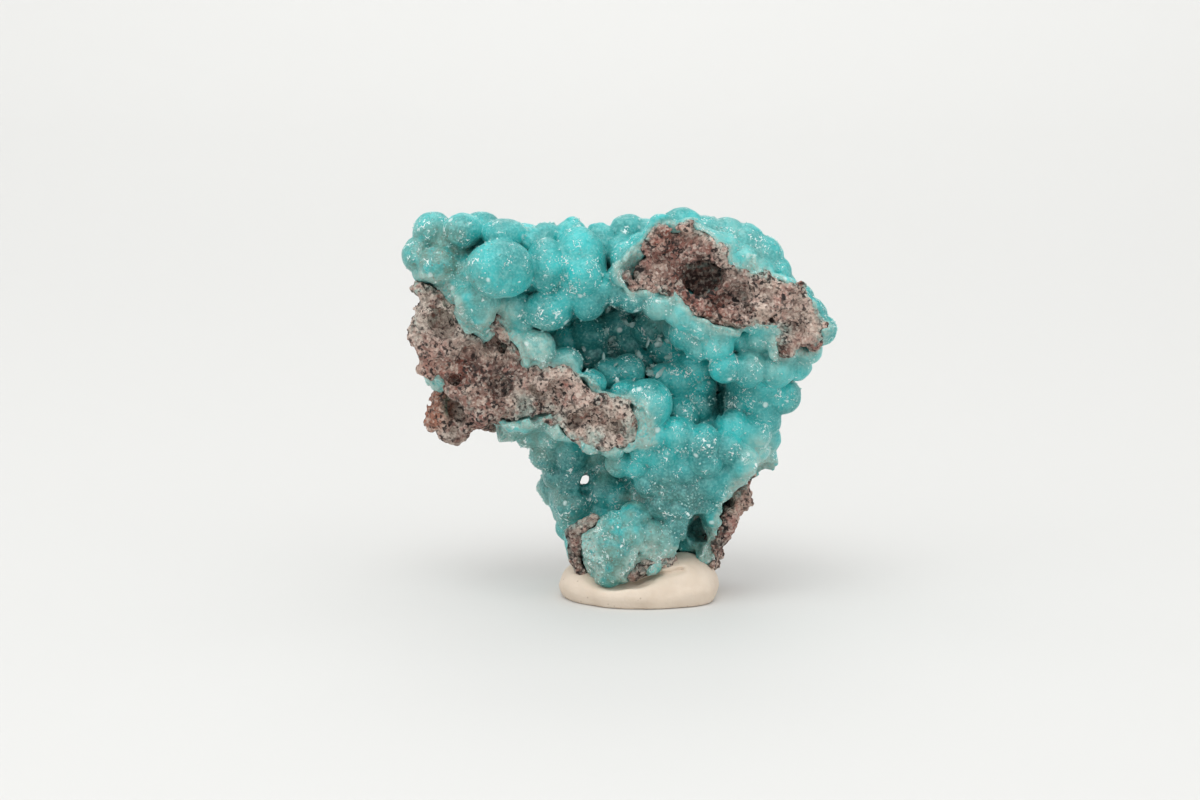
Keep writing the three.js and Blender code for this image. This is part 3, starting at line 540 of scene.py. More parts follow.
    def blurred(self, values: Array, reach: float) -> Array:
        """Averages a field over a cube round each sample.

        Args:
            values: The field.
            reach: How far the cube runs from its middle, in mm.

        Returns:
            The averaged field.
        """
        n = max(1, int(round(reach / self.step)))
        made = values.astype(np.float32)
        for axis in range(3):
            pad = [(0, 0)] * 3
            pad[axis] = (n + 1, n)
            total = np.cumsum(np.pad(made, pad, mode="edge"), axis=axis, dtype=np.float64)
            upper = np.take(total, range(2 * n + 1, total.shape[axis]), axis)
            lower = np.take(total, range(0, total.shape[axis] - 2 * n - 1), axis)
            made = ((upper - lower) / (2 * n + 1)).astype(np.float32)
        return made

    def skin(self, values: Array) -> tuple[Array, Array]:
        """Finds the zero surface of a field.

        Args:
            values: Distances, in mm, less than 0 inside.

        Returns:
            The corners, in mm, and the four-sided faces between them.
        """
        volume = openvdb.FloatGrid(BAND)
        volume.copyFromArray(np.clip(values, -BAND, BAND))
        corners, faces = volume.convertToQuads(0.0)
        return corners * self.step + self.low, faces[:, ::-1]


def cell_noise(points: Array, size: float, seed: int) -> tuple[Array, Array]:
    """Splits space into grains.

    Args:
        points: Places, in mm.
        size: Distance between grains, in mm.
        seed: Chooses one pattern.

    Returns:
        How far each place is from its grain's middle, in grain sizes, and the grain's own number
        from 0 to 1.
    """
    period = 32  # grains along each axis before the pattern repeats
    random = np.random.default_rng(seed)
    jitter = random.random((period, period, period, 3), dtype=np.float32)
    number = random.random((period, period, period), dtype=np.float32)
    scaled = (points / size).astype(np.float32)
    base = np.floor(scaled).astype(np.int32)
    inner = scaled - base
    nearest = np.full(len(points), 9.0, np.float32)
    owner = np.zeros(len(points), np.float32)
    for step in np.ndindex(3, 3, 3):
        shift = np.array(step, np.int32) - 1
        i, j, k = ((base + shift) % period).T
        away = jitter[i, j, k] + shift.astype(np.float32) - inner
        distance = np.einsum("ij,ij->i", away, away)
        closer = distance < nearest
        nearest = np.where(closer, distance, nearest)
        owner = np.where(closer, number[i, j, k], owner)
    return np.sqrt(nearest), owner


@dataclass(frozen=True)
class BrokenFace:
    """A face where the rock was broken across: a slab that runs back from its front."""

    outline: list[tuple[float, float]]
    front: float
    back: float
    slope: float = 0.0  # mm that the front moves back for each mm to the right
    taper: float = 0.0  # mm that the slab narrows for each mm behind its front
    brim: float = 0.0  # how far the rock's sloping edge runs on under the crust round it
    fall: float = 1.1  # how steeply that edge slopes
    rind: float = 0.0  # width of the crust that is broken off flush round the face
    rind_start: float = -30.0  # how far to the right the rind begins
    rind_fade: float = 2.0  # mm over which it begins
    rind_tip: tuple[float, float] = (14.0, 20.0)  # where across it narrows to half
    rind_sunk: float = 0.25  # mm that its face lies behind the rock's
    rind_curl: float = 0.22  # how fast its face curves back towards its edge
    rind_taper: float = 0.2
    rind_edge: float = 0.9  # mm over which its edge is rounded
    rind_end: float = -0.6  # its width where it hasn't begun, so that none shows there

    def depth(self, grid: Grid) -> Array:
        """How far each sample lies behind the front, in mm."""
        return grid.y - (self.front + self.slope * grid.x)

    def slab(self, grid: Grid, flat: Array) -> Array:
        """Makes the rock's slab.

        Args:
            grid: The grid to make it on.
            flat: The distance to its outline.

        Returns:
            The slab as a field.
        """
        behind = self.depth(grid)
        sides = flat - self.brim + self.taper * np.clip(behind, 0, None)
        top = self.fall * np.clip(flat, 0, None) - behind
        return np.maximum(np.maximum(sides, top), behind - (self.back - self.front))

    def crust(self, grid: Grid, flat: Array, swell: Array) -> Array:
        """Makes the rind round the slab.

        Args:
            grid: The grid to make it on.
            flat: The distance to the face's outline.
            swell: How much wider or narrower it is than its even width, at each sample.

        Returns:
            The rind as a field, with the slab's own place filled.
        """
        behind = self.depth(grid)
        begins = (self.rind_start - self.rind_fade, self.rind_start + self.rind_fade)
        shown = smooth_step(*begins, grid.x)
        narrowed = 1 - 0.5 * smooth_step(*self.rind_tip, grid.x)
        width = (self.rind * narrowed + swell) * shown + self.rind_end * (1 - shown)
        outside = np.clip(flat, 0, None)
        top = self.rind_sunk + self.rind_curl * outside * outside - behind
        sides = flat - width + self.rind_taper * np.clip(behind, 0, None)
        made = smooth_max(sides, top, self.rind_edge)
        return np.maximum(made, behind - (self.back - self.front))

    def cleared(self, grid: Grid, flat: Array, rim: float, deep: float) -> Array:
        """Makes the room before the slab that has no crust.

        Args:
            grid: The grid to make it on.
            flat: The distance to the face's outline.
            rim: How much wider than the face it is, in mm.
            deep: How far behind the front it runs, in mm.

        Returns:
            The room as a field.
        """
        behind = self.depth(grid)
        return np.maximum(flat - rim + 0.5 * np.clip(behind, 0, None), behind - deep)


FACES = [
    BrokenFace(UPPER_LEDGE, -8.6, -3.0, 0.06, 0.36, brim=1.0, rind=1.7),
    BrokenFace(LEFT_LEDGE, -8.8, -3.0, -0.2, 0.36, brim=0.8, rind=1.0, rind_start=-17.5),
    BrokenFace(FOOT_CHIP, -6.4, 1.0, 0.28, brim=0.8),
    BrokenFace(FOOT_RIM, -4.5, 3.0, taper=0.1, brim=0.9),
    BrokenFace(RIGHT_RIM, -2.2, 6.5),
]


@dataclass
class Form:
    """The shapes that the specimen's pieces share, as fields: bare regions, rock and crust."""

    grid: Grid

    face_rim: float = 0.4  # how far a broken face reaches over the crust round it
    face_deep: float = 2.6  # how far behind a broken face the crust begins
    back_front: float = 6.4  # where the bare back begins
    bare_edge: Ripples = (Ripple(0.42, 1.7, 11), Ripple(0.22, 0.7, 12))

    lobe_blend: float = 1.4  # how softly the rock's masses run together
    slab_blend: float = 0.8
    knob_blend: float = 0.6
    rock_swell: Ripples = (Ripple(0.45, 4.6, 21), Ripple(0.1, 0.5, 27))
    rock_folds: Ripples = (Ripple(0.6, 2.4, 22, folded=True), Ripple(-0.42, 1.2, 23, folded=True))
    rock_grit: Ripples = (Ripple(-0.2, 0.7, 28, folded=True),)
    relief_rim: tuple[float, float] = (1.4, 0.4)  # mm beside bare rock where it begins and is whole
    calm: float = 0.5  # how much of the relief is left at the foot
    calm_heights: tuple[float, float] = (9.0, 15.0)  # where it begins to grow, and where it is whole
    cave_wave: float = 1.4  # mm between the small caves that are weathered into the bare rock
    cave_seed: int = 24
    cave_levels: tuple[float, float] = (0.7, 1.8)  # of the noise where caves begin and are deepest
    cave_rim: tuple[float, float] = (-0.2, -1.2)  # mm inside a bare region, in the same way
    cave_depth: float = 1.9
    rock_sunk: float = 0.5  # how far the rock lies under its own form where crust covers it
    pit_edge: Ripples = (Ripple(0.5, 1.6, 29),)
    pit_relief: float = 0.8  # how much of the rock's relief is seen in its pits
    pit_blend: float = 0.5
    pit_margin: float = 1.5  # mm round a pit where the rock is brought up to date
    pit_room: Array = field(default_factory=lambda: np.array([1.2, 3.4, 1.2]))  # clear of crust
    hole_edge: Ripples = (Ripple(0.4, 0.9, 25),)
    hole_rise: float = 0.8  # its width beside its height
    hole_clear: float = 0.1  # how much wider the hole is in the rock than in the crust
    hole_front: float = -2.0  # where the hole begins, from front to back
    nook_edge: Ripples = (Ripple(0.35, 1.2, 26),)
    nook_lining: float = 0.5  # thickness of the crust inside a nook

    coat_blend: float = 1.0
    coat_swell: Ripples = (Ripple(0.25, 3.2, 31),)
    lump_blend: float = 0.12  # how sharply two lumps of crust meet
    lump_margin: float = 1.0  # mm round a lump where the crust is brought up to date
    dome: float = 1.14  # how much broader a lump is than the ball that fits its crown
    dome_share: float = 0.75  # of that breadth which goes into its radius
    rind_swell: Ripples = (Ripple(0.35, 1.8, 34),)
    crust_relief: Ripples = (Ripple(0.05, 1.3, 32), Ripple(0.03, 0.55, 33))
    crust_edge: Ripples = (Ripple(0.2, 0.9, 35), Ripple(0.12, 0.5, 36))
    edge_rim: tuple[float, float] = (1.8, 0.3)  # mm beside bare rock where it begins and is whole
    pit_room_margin: float = 4.5  # mm round a pit where the crust is brought up to date
    scatter_seed: int = 41
    scatter_radius: float = 2.05
    scatter_spread: float = 0.5
    scatter_sizes: tuple[float, float] = (-0.6, 1.0)  # smallest and largest, in spreads
    scatter_area: float = 9.0  # square mm of coat for each scattered lump
    scatter_sunk: float = 0.5  # how far under the coat's skin their middles lie
    scatter_cover: float = 0.9  # how far under it one counts as buried in another mass
    scatter_gap: float = 1.1  # mm between two lumps' middles, beyond most of a radius
    scatter_floor: float = 7.0
    bead_seed: int = 43
    bead_count: int = 100
    bead_radius: tuple[float, float] = (0.5, 1.2)
    bead_sunk: float = 0.62  # how far a bead's middle lies under the skin, in radii
    bead_floor: float = 2.0

    bare: Array = field(init=False)
    rock: Array = field(init=False)
    crust: Array = field(init=False)

    def grow(self) -> None:
        """Makes the three fields, in the order that each needs the one before."""
        flats = [self.grid.outline(face.outline) for face in FACES]
        self.bare = self._bare(flats)
        self.rock = self._rock(flats)
        self.crust = self._crust(flats)

    def _join(self, made: Array, at: Array, half: float | Array, blend: float, room: float) -> None:
        """Joins one rounded mass to a field.

        Args:
            made: The field, which is changed in place.
            at: The mass's middle, in mm.
            half: Its radius or its half sizes, in mm.
            blend: How softly it runs into what is there, in mm.
            room: How far from its skin the field is brought up to date, in mm.
        """
        near = self.grid.window(at, half + room)
        mass = self.grid.ellipsoid(at, np.broadcast_to(half, 3), near)
        made[near] = smooth_min(made[near], mass, blend)

    def _bare(self, flats: list[Array]) -> Array:
        """Finds where the crust has come away: before the broken faces, at two sides and behind.

        Args:
            flats: The distance to each broken face's outline.

        Returns:
            The bare regions as one field.
        """
        grid = self.grid
        made = grid.outline(BACK_FACE)
        made = np.maximum(made, self.back_front - grid.y)
        for side in (LEFT_SIDE, RIGHT_SIDE):
            made = np.minimum(made, grid.outline(side))
        for face, flat in zip(FACES, flats):
            made = np.minimum(made, face.cleared(grid, flat, self.face_rim, self.face_deep))
        return made + grid.ripples(self.bare_edge)

    def _rock(self, flats: list[Array]) -> Array:
        """Makes the rock: its rounded masses, the slabs of its broken faces and the knob.

        Args:
            flats: The distance to each broken face's outline.

        Returns:
            The rock as a field, with its relief, pits, nooks and hole.
        """
        grid = self.grid
        made = grid.empty()
        for across, up, back, *half in LOBES.values():
            self._join(made, place(across, up, back), half_sizes(*half), self.lobe_blend, BAND)
        for face, flat in zip(FACES, flats):
            made = smooth_min(made, face.slab(grid, flat), self.slab_blend)
        for *at, radius in KNOB:
            self._join(made, place(*at), radius, self.knob_blend, BAND)
        relief = grid.ripples(self.rock_swell)
        relief += grid.ripples(self.rock_folds)
        relief += grid.ripples(self.rock_grit)
        rough = smooth_step(*self.calm_heights, grid.up)
        relief *= self.calm + (1 - self.calm) * rough
        caves = smooth_step(*self.cave_levels, grid.noise(self.cave_wave, self.cave_seed))
        caves *= smooth_step(*self.cave_rim, self.bare) * rough
        shown = smooth_step(*self.relief_rim, self.bare)
        made += shown * (relief + self.cave_depth * caves) + (1 - shown) * self.rock_sunk
        torn = grid.ripples(self.pit_edge)
        for *at, radius in PITS:
            middle = place(*at)
            near = grid.window(middle, 2 * radius + self.pit_margin)
            pit = grid.ellipsoid(middle, radius * PIT_SHAPE, near)
            pit = pit + self.pit_relief * relief[near] + torn[near]
            made[near] = smooth_max(made[near], -pit, self.pit_blend)
        made = np.maximum(made, -self._nooks(-self.nook_lining))
        made = np.maximum(made, -self._pinhole(self.hole_clear))
        return grid.blurred(made, grid.step)

    def _pinhole(self, grow: float) -> Array:
        """Makes the ragged hole through the lower recess.

        Args:
            grow: How much wider than its own radius it is cut, in mm.

        Returns:
            The hole as a field.
        """
        across, up, radius = PINHOLE
        rise = (self.grid.up - up) * self.hole_rise
        hole = np.hypot(self.grid.x - across, rise) - radius - grow
        hole += self.grid.ripples(self.hole_edge)
        return np.maximum(hole, self.hole_front - self.grid.y)

    def _nooks(self, grow: float) -> Array:
        """Makes the dark nooks between masses of crust.

        Args:
            grow: How much larger than its own half sizes each is cut, in mm.

        Returns:
            The nooks as one field.
        """
        grid = self.grid
        made = grid.empty()
        for across, up, back, *half in NOOKS:
            size = half_sizes(*half) + grow
            middle = place(across, up, back)
            near = grid.window(middle, size + BAND)
            made[near] = np.minimum(made[near], grid.ellipsoid(middle, size, near))
        return made + grid.ripples(self.nook_edge)

    def _crust(self, flats: list[Array]) -> Array:
        """Makes the crust: a thin coat over the rock's masses and the lumps that stand on it.

        Args:
            flats: The distance to each broken face's outline.

        Returns:
            The crust as a field, solid right through, because the rock fills it.
        """
        grid = self.grid
        made = grid.empty()
        for across, up, back, *half in LOBES.values():
            size = half_sizes(*half) + SKIN
            self._join(made, place(across, up, back), size, self.coat_blend, BAND)
        made += grid.ripples(self.coat_swell)
        placed = [self._broadened(place(*at), radius) for *at, radius in sum(LUMPS.values(), [])]
        lumps = placed + self._scattered([middle for middle, _ in placed])
        lumps += [(place(*each[:3]), half_sizes(*each[3:])) for each in DOMES]
        for middle, size in lumps:
            self._join(made, middle, size, self.lump_blend, self.lump_margin)
        for middle, size in self._beads(made):
            self._join(made, middle, size, self.lump_blend, self.lump_margin)
        swell = grid.ripples(self.rind_swell)
        for face, flat in zip(FACES, flats):
            if face.rind:
                made = smooth_min(made, face.crust(grid, flat, swell), self.lump_blend)
        made += grid.ripples(self.crust_relief)
        edge = smooth_step(*self.edge_rim, self.bare)
        made += edge * grid.ripples(self.crust_edge)
        made = np.maximum(made, -self.bare)
        made = np.maximum(made, -self._nooks(0.0))
        for *at, radius in PITS:
            middle = place(*at)
            near = grid.window(middle, 2 * radius + self.pit_room_margin)
            hollow = grid.ellipsoid(middle, radius * PIT_SHAPE + self.pit_room, near)
            made[near] = np.maximum(made[near], -hollow)
        return np.maximum(made, -self._pinhole(0.0))

    def _broadened(self, middle: Array, radius: float) -> tuple[Array, float]:
        """A broader ball whose crown is where the given ball's is, facing the front."""
        grown = radius * (self.dome - 1)
        return middle + np.array([0, grown, 0]), radius + self.dome_share * grown

    def _scattered(self, taken: list[Array]) -> list[tuple[Array, float]]:
        """Spreads lumps over the back and sides of the coat.

        Args:
            taken: The middles of the listed lumps, which the new ones keep clear of.

        Returns:
            The middle and radius of each new lump.
        """
        random = np.random.default_rng(self.scatter_seed)
        taken = list(taken)
        lobes = [(place(*each[:3]), half_sizes(*each[3:])) for each in LOBES.values()]
        covers = [(middle, size + SKIN - self.scatter_cover) for middle, size in lobes]
        spread = []
        for middle, size in lobes:
            half = size + SKIN - self.scatter_sunk
            area = 4 / 3 * math.pi * (half[0] * half[1] + half[1] * half[2] + half[2] * half[0])
            count = round(area / self.scatter_area)
            for i in range(count):
                height = 1 - (2 * i + 1) / count
                ring = math.sqrt(1 - height * height)
                turn = i * math.pi * GOLDEN_SHARE + middle[0]
                at = middle + half * np.array([ring * math.cos(turn), ring * math.sin(turn), height])
                drawn = random.uniform(*self.scatter_sizes)
                radius = self.scatter_radius + self.scatter_spread * drawn
                buried = any(np.linalg.norm((at - c) / cover) < 1 for c, cover in covers)
                clear = 0.95 * radius + self.scatter_gap
                crowded = any(np.linalg.norm(at - c) < clear for c in taken)
                if at[1] < 0 or at[2] < self.scatter_floor or buried or crowded:
                    continue
                taken.append(at)
                spread.append((at, radius))
        return spread

    def _beads(self, made: Array) -> list[tuple[Array, float]]:
        """Chooses places for smaller lumps that sit in the skin of the larger ones.

        Args:
            made: The crust as a field.

        Returns:
            The middle and radius of each.
        """
        random = np.random.default_rng(self.bead_seed)
        corners, _ = self.grid.skin(made)
        chosen = corners[random.choice(len(corners), self.bead_count, replace=False)]
        low, high = self.bead_radius
        radii = random.triangular(low, low, high, self.bead_count)
        inward = -self.slope(made, chosen)
        beads = zip(chosen, inward, radii)
        return [(at + self.bead_sunk * r * way, r) for at, way, r in beads if at[2] > self.bead_floor]

    def openness(self, points: Array, outward: Array, reach: float) -> Array:
        """Judges how open the space before each point is.

        Args:
            points: Places on the surface, in mm.
            outward: The way out of the surface at each of them.
            reach: How far from each place the space is looked at, in mm.

        Returns:
            For each place, from 0 in a crevice to about 0.8 on a crown.
        """
        solid = (np.minimum(self.rock, self.crust) < 0).astype(np.float32)
        filled = self.grid.blurred(self.grid.blurred(solid, reach / 2), reach / 2)
        return 1 - self.grid.sample(filled, points + outward * reach * 0.4)

    def tinted(self, points: Array, patches: list[Patch]) -> Array:
        """Works out how strong a tint is at some points.

        Args:
            points: Places on the surface, in mm.
            patches: The tint's patches, each (across, up, radius, strength).

        Returns:
            The tint at each point, from 0 to about 1.
        """
        up = height_seen(points[:, 1], points[:, 2])
        made = np.zeros(len(points))
        for across, middle_up, radius, strength in patches:
            distance = np.hypot(points[:, 0] - across, up - middle_up)
            made = np.maximum(made, strength * smooth_step(radius * 1.4, radius * 0.4, distance))
        return made

    def slope(self, values: Array, points: Array) -> Array:
        """Finds the way out of a field at some points.

        Args:
            values: The field.
            points: The places, in mm.

        Returns:
            A unit vector for each place.
        """
        ways = []
        for step in self.grid.step * np.eye(3):
            ahead = self.grid.sample(values, points + step)
            ways.append(ahead - self.grid.sample(values, points - step))
        slope = np.stack(ways, 1)
        return slope / np.maximum(np.linalg.norm(slope, axis=1, keepdims=True), TINY)


def linear(hex_colour: str) -> tuple[float, float, float, float]:
    """Turns an sRGB hex colour such as "#8a6a5e" to the linear values that shaders take.

    Args:
        hex_colour: The colour, with its leading #.

    Returns:
        Red, green, blue and an alpha of 1.
    """
    parts = [int(hex_colour[i : i + 2], 16) / 255 for i in (1, 3, 5)]
    made = [c / 12.92 if c <= 0.04045 else ((c + 0.055) / 1.055) ** 2.4 for c in parts]
    return (*made, 1.0)


def add_node(tree: bpy.types.NodeTree, kind: str, settings: dict[str | int, object]) -> bpy.types.Node:
    """Adds a node with its settings and links.

    Args:
        tree: The nodes of a material or of the studio's air.
        kind: The node's type name.
        settings: By name or number, the node's own properties and its input sockets, each with its
            value or with the output that feeds it.

    Returns:
        The new node.
    """
    node = tree.nodes.new(kind)
    for name, value in settings.items():
        if isinstance(value, bpy.types.NodeSocket):
            tree.links.new(value, node.inputs[name])
        elif isinstance(name, str) and hasattr(node, name):
            setattr(node, name, value)
        else:
            node.inputs[name].default_value = value
    return node


class Slot(Enum):
    """The record's material slots."""

    ROCK = "iron_stained_rock"
    CRUST = "hemimorphite"
    PUTTY = "putty"


class Source(Enum):
    """What a pattern is drawn from, by the node that draws it."""

    MARK = "ShaderNodeAttribute"  # a value that the mesh keeps at each of its corners
    CLOUDS = "ShaderNodeTexNoise"
    GRAINS = "ShaderNodeTexVoronoi"


Spread = tuple[float, float, float]  # the value that becomes 0, the one that becomes the top, the top


@dataclass(frozen=True)
class Pattern:
    """A pattern over a surface, which says how strongly something shows at each place."""

    source: Source
    of: str | float  # the mark's name, or the mm between bumps or grains
    spreads: tuple[Spread, ...] = ()  # done in turn, each with a smooth run between its two values
    detail: float = 2.0  # how many finer layers clouds have
    shift: float = 0.0  # metres that it is moved by, to give another pattern
    swirl: float = 0.0  # how far clouds are drawn out into curls
    reading: str = "Fac"  # the output that is read, or a channel of the grains' own colours

    def draw(self, tree: bpy.types.NodeTree) -> bpy.types.NodeSocket:
        """Adds the pattern to a material.

        Args:
            tree: The material's nodes.

        Returns:
            The output that gives the pattern's strength.
        """
        if self.source is Source.MARK:
            settings = {"attribute_name": self.of}
        else:
            where = add_node(tree, "ShaderNodeTexCoord", {}).outputs["Object"]
            moved = {"Location": (self.shift, self.shift, self.shift), "Vector": where}
            at = add_node(tree, "ShaderNodeMapping", moved).outputs["Vector"]
            settings = {"Scale": 1 / (self.of * MM), "Vector": at}
        if self.source is Source.CLOUDS:
            settings |= {"Detail": self.detail, "Distortion": self.swirl}
        node = add_node(tree, self.source.value, settings)
        if self.reading in ("Red", "Green"):
            node = add_node(tree, "ShaderNodeSeparateColor", {"Color": node.outputs["Color"]})
        made = node.outputs[self.reading]
        for low, high, top in self.spreads:
            run = {"From Min": low, "From Max": high, "To Max": top, "Value": made}
            run["interpolation_type"] = "SMOOTHSTEP"
            made = add_node(tree, "ShaderNodeMapRange", run).outputs["Result"]
        return made


@dataclass(frozen=True)
class Layer:
    """A colour laid over the ones before it, as strongly as the product of its patterns says."""

    colour: str
    patterns: list[Pattern]


# The numbers of a colour mix's sockets, whose names several of its sockets share.
MIX_SHARE = 0
MIX_UNDER = 6
MIX_OVER = 7
MIX_RESULT = 2


class Finish:
    """A material made of a base colour, layers over it, bumps and one shader."""

    name: str
    base: str

    def layers(self) -> list[Layer]:
        """The colours over the base, in the order that they are laid."""
        return []

    def bumps(self) -> list[tuple[Pattern, float]]:
        """The patterns that raise the surface, each with its height in mm."""
        return []

    def shader(self) -> dict[str, object]:
        """The shader's settings."""
        return {}

    def make(self) -> bpy.types.Material:
        """Builds the material.

        Returns:
            The material.
        """
        material = bpy.data.materials.new(self.name)
        material.use_nodes = True
        tree = material.node_tree
        tree.nodes.clear()
        colour = linear(self.base)
        for layer in self.layers():
            share, *others = [pattern.draw(tree) for pattern in layer.patterns]
            for other in others:
                product = {"operation": "MULTIPLY", 0: share, 1: other}
                share = add_node(tree, "ShaderNodeMath", product).outputs[0]
            mix = {"data_type": "RGBA", MIX_SHARE: share, MIX_UNDER: colour}
            mix[MIX_OVER] = linear(layer.colour)
            colour = add_node(tree, "ShaderNodeMix", mix).outputs[MIX_RESULT]
        raised = {}
        for pattern, height in self.bumps():
            bump = {"Distance": height * MM, "Strength": 1.0, "Height": pattern.draw(tree)}
            raised = {"Normal": add_node(tree, "ShaderNodeBump", bump | raised).outputs["Normal"]}
        settings = self.shader() | {"Base Color": colour} | raised
        shader = add_node(tree, "ShaderNodeBsdfPrincipled", settings)
        add_node(tree, "ShaderNodeOutputMaterial", {"Surface": shader.outputs["BSDF"]})
        return material


@dataclass(frozen=True)
class BotryoidalHemimorphite(Finish):
    """Hemimorphite grown as rounded crusts of radiating fibres.

    Light goes a little way into the fibres, so thin edges glow; its creases and hollows are darkened
    with painted shade. The ends of the fibres give a sugary skin, with white flecks on its crowns that
    are partly drusy crystals and partly painted glints.
    """

    name: str = "hemimorphite grown as a botryoidal crust"
    base: str = "#1c9190"
    turquoise: str = "#25bcbc"
    # deep: the teal of painted shade in the pocket, the recesses and the nooks
    deep: str = "#0f5c5c"
    # crease: the dark teal of painted shade where lumps meet
    crease: str = "#0a4f4f"
    pale: str = "#9dbfb6"
    sugar: str = "#84d0cb"
    druse: str = "#e6f3f0"
    dull: str = "#5f8579"
    rock_dust: str = "#8f8c82"
    rust: str = "#80614b"
    cloud: float = 5.0  # mm between patches of lighter and darker growth
    fibre_end: float = 0.3  # mm, coarser than real fibres, which are too fine to show
    fleck: float = 0.5  # mm between flecks of crystal
    milky_gap: float = 2.2  # mm between the larger milky crystals
    light_reach: float = 0.55  # mm

    def flecks(self) -> Pattern:
        """The curled flecks of crystal on its skin."""
        return Pattern(Source.CLOUDS, self.fleck, ((0.55, 0.63, 1.0),), detail=3, shift=4, swirl=1.6)

    def layers(self) -> list[Layer]:
        """Lists the colours over its green body, from clouds in it to the sparkle on its skin, with
        painted shade in its hollows and creases and painted glints on its crowns.

        Returns:
            The layers, in the order that they are laid.
        """
        mark, clouds, grains = Source.MARK, Source.CLOUDS, Source.GRAINS
        grime = Pattern(mark, "grime")
        patchy = ((0.42, 0.62, 1.0), (-0.9, 1.0, 0.85))
        crumbled = Pattern(clouds, 0.5, ((0.3, 0.55, 1.0),), detail=4, shift=9)
        dusty = Pattern(clouds, 0.3, ((0.47, 0.6, 1.0),), detail=5, shift=5)
        specks = Pattern(clouds, 0.35, ((0.62, 0.7, 0.8),), detail=3, shift=1)
        crowns = Pattern(clouds, 1.8, ((0.5, 0.62, 1.0),), detail=3, shift=2)
        milky = Pattern(grains, self.milky_gap, ((0.2, 0.08, 1.0),), reading="Distance")
        few = Pattern(grains, self.milky_gap, ((0.72, 0.76, 0.7),), reading="Red")
        bleached = Pattern(clouds, 0.9, patchy, detail=3, shift=6)
        dulled = Pattern(clouds, 1.6, ((0.3, 0.6, 1.0),), detail=4)
        return [
            Layer(self.turquoise, [Pattern(clouds, self.cloud, ((0.36, 0.66, 1.0),), detail=3)]),
            # Deep teal where the crust is shut in over a few millimetres: painted shade in the pocket
            # and recesses.
            Layer(self.deep, [Pattern(mark, "cavity_shade", ((0.42, 0.12, 1.0),))]),
            # Deep teal over the depth patches: painted shade in the pocket, the nooks and the lower
            # front.
            Layer(self.deep, [Pattern(mark, "depth", ((0.0, 1.0, 0.8),))]),
            Layer(self.pale, [Pattern(mark, "bleach"), bleached]),
            Layer(self.dull, [grime, dulled]),
            Layer(self.sugar, [Pattern(clouds, self.fibre_end, ((0.42, 0.75, 0.45),), detail=3)]),
            Layer(self.sugar, [Pattern(clouds, 1.1, ((0.5, 0.75, 0.35),), detail=3, shift=7)]),
            Layer(self.pale, [Pattern(mark, "rim", ((0.0, 0.8, 0.85),)), crumbled]),
            Layer(self.rock_dust, [Pattern(mark, "rim", ((0.3, 1.0, 0.5),)), dusty]),
            # Dark teal where lumps meet in narrow creases: painted shade.
            Layer(self.crease, [Pattern(mark, "crease", ((0.42, 0.22, 0.85),))]),
            Layer(self.rust, [grime, specks]),
            # White flecks on the open crowns: partly the drusy crystals' own pale colour, partly painted
            # glints.
            Layer(self.druse, [self.flecks(), crowns, Pattern(mark, "lit")]),
            Layer(self.druse, [milky, few]),
        ]

    def bumps(self) -> list[tuple[Pattern, float]]:
        """Lists the bumps of its skin.

        Returns:
            Each pattern with its height in mm.
        """
        return [
            (Pattern(Source.CLOUDS, 0.7, detail=3), 0.08),
            (Pattern(Source.CLOUDS, self.fibre_end, detail=3), 0.12),
            (self.flecks(), 0.05),
        ]

    def shader(self) -> dict[str, object]:
        """Sets a satin gloss, light that goes into the fibres, and a sheen from their ends.

        Returns:
            The shader's settings.
        """
        return {
            "Roughness": 0.28,
            "IOR": 1.62,
            "Subsurface Weight": 0.45,
            "Subsurface Radius": (0.35, 1.0, 0.95),
            "Subsurface Scale": self.light_reach * MM,
            "Sheen Weight": 0.35,
            "Sheen Roughness": 0.35,
            "Sheen Tint": linear(self.sugar),
        }


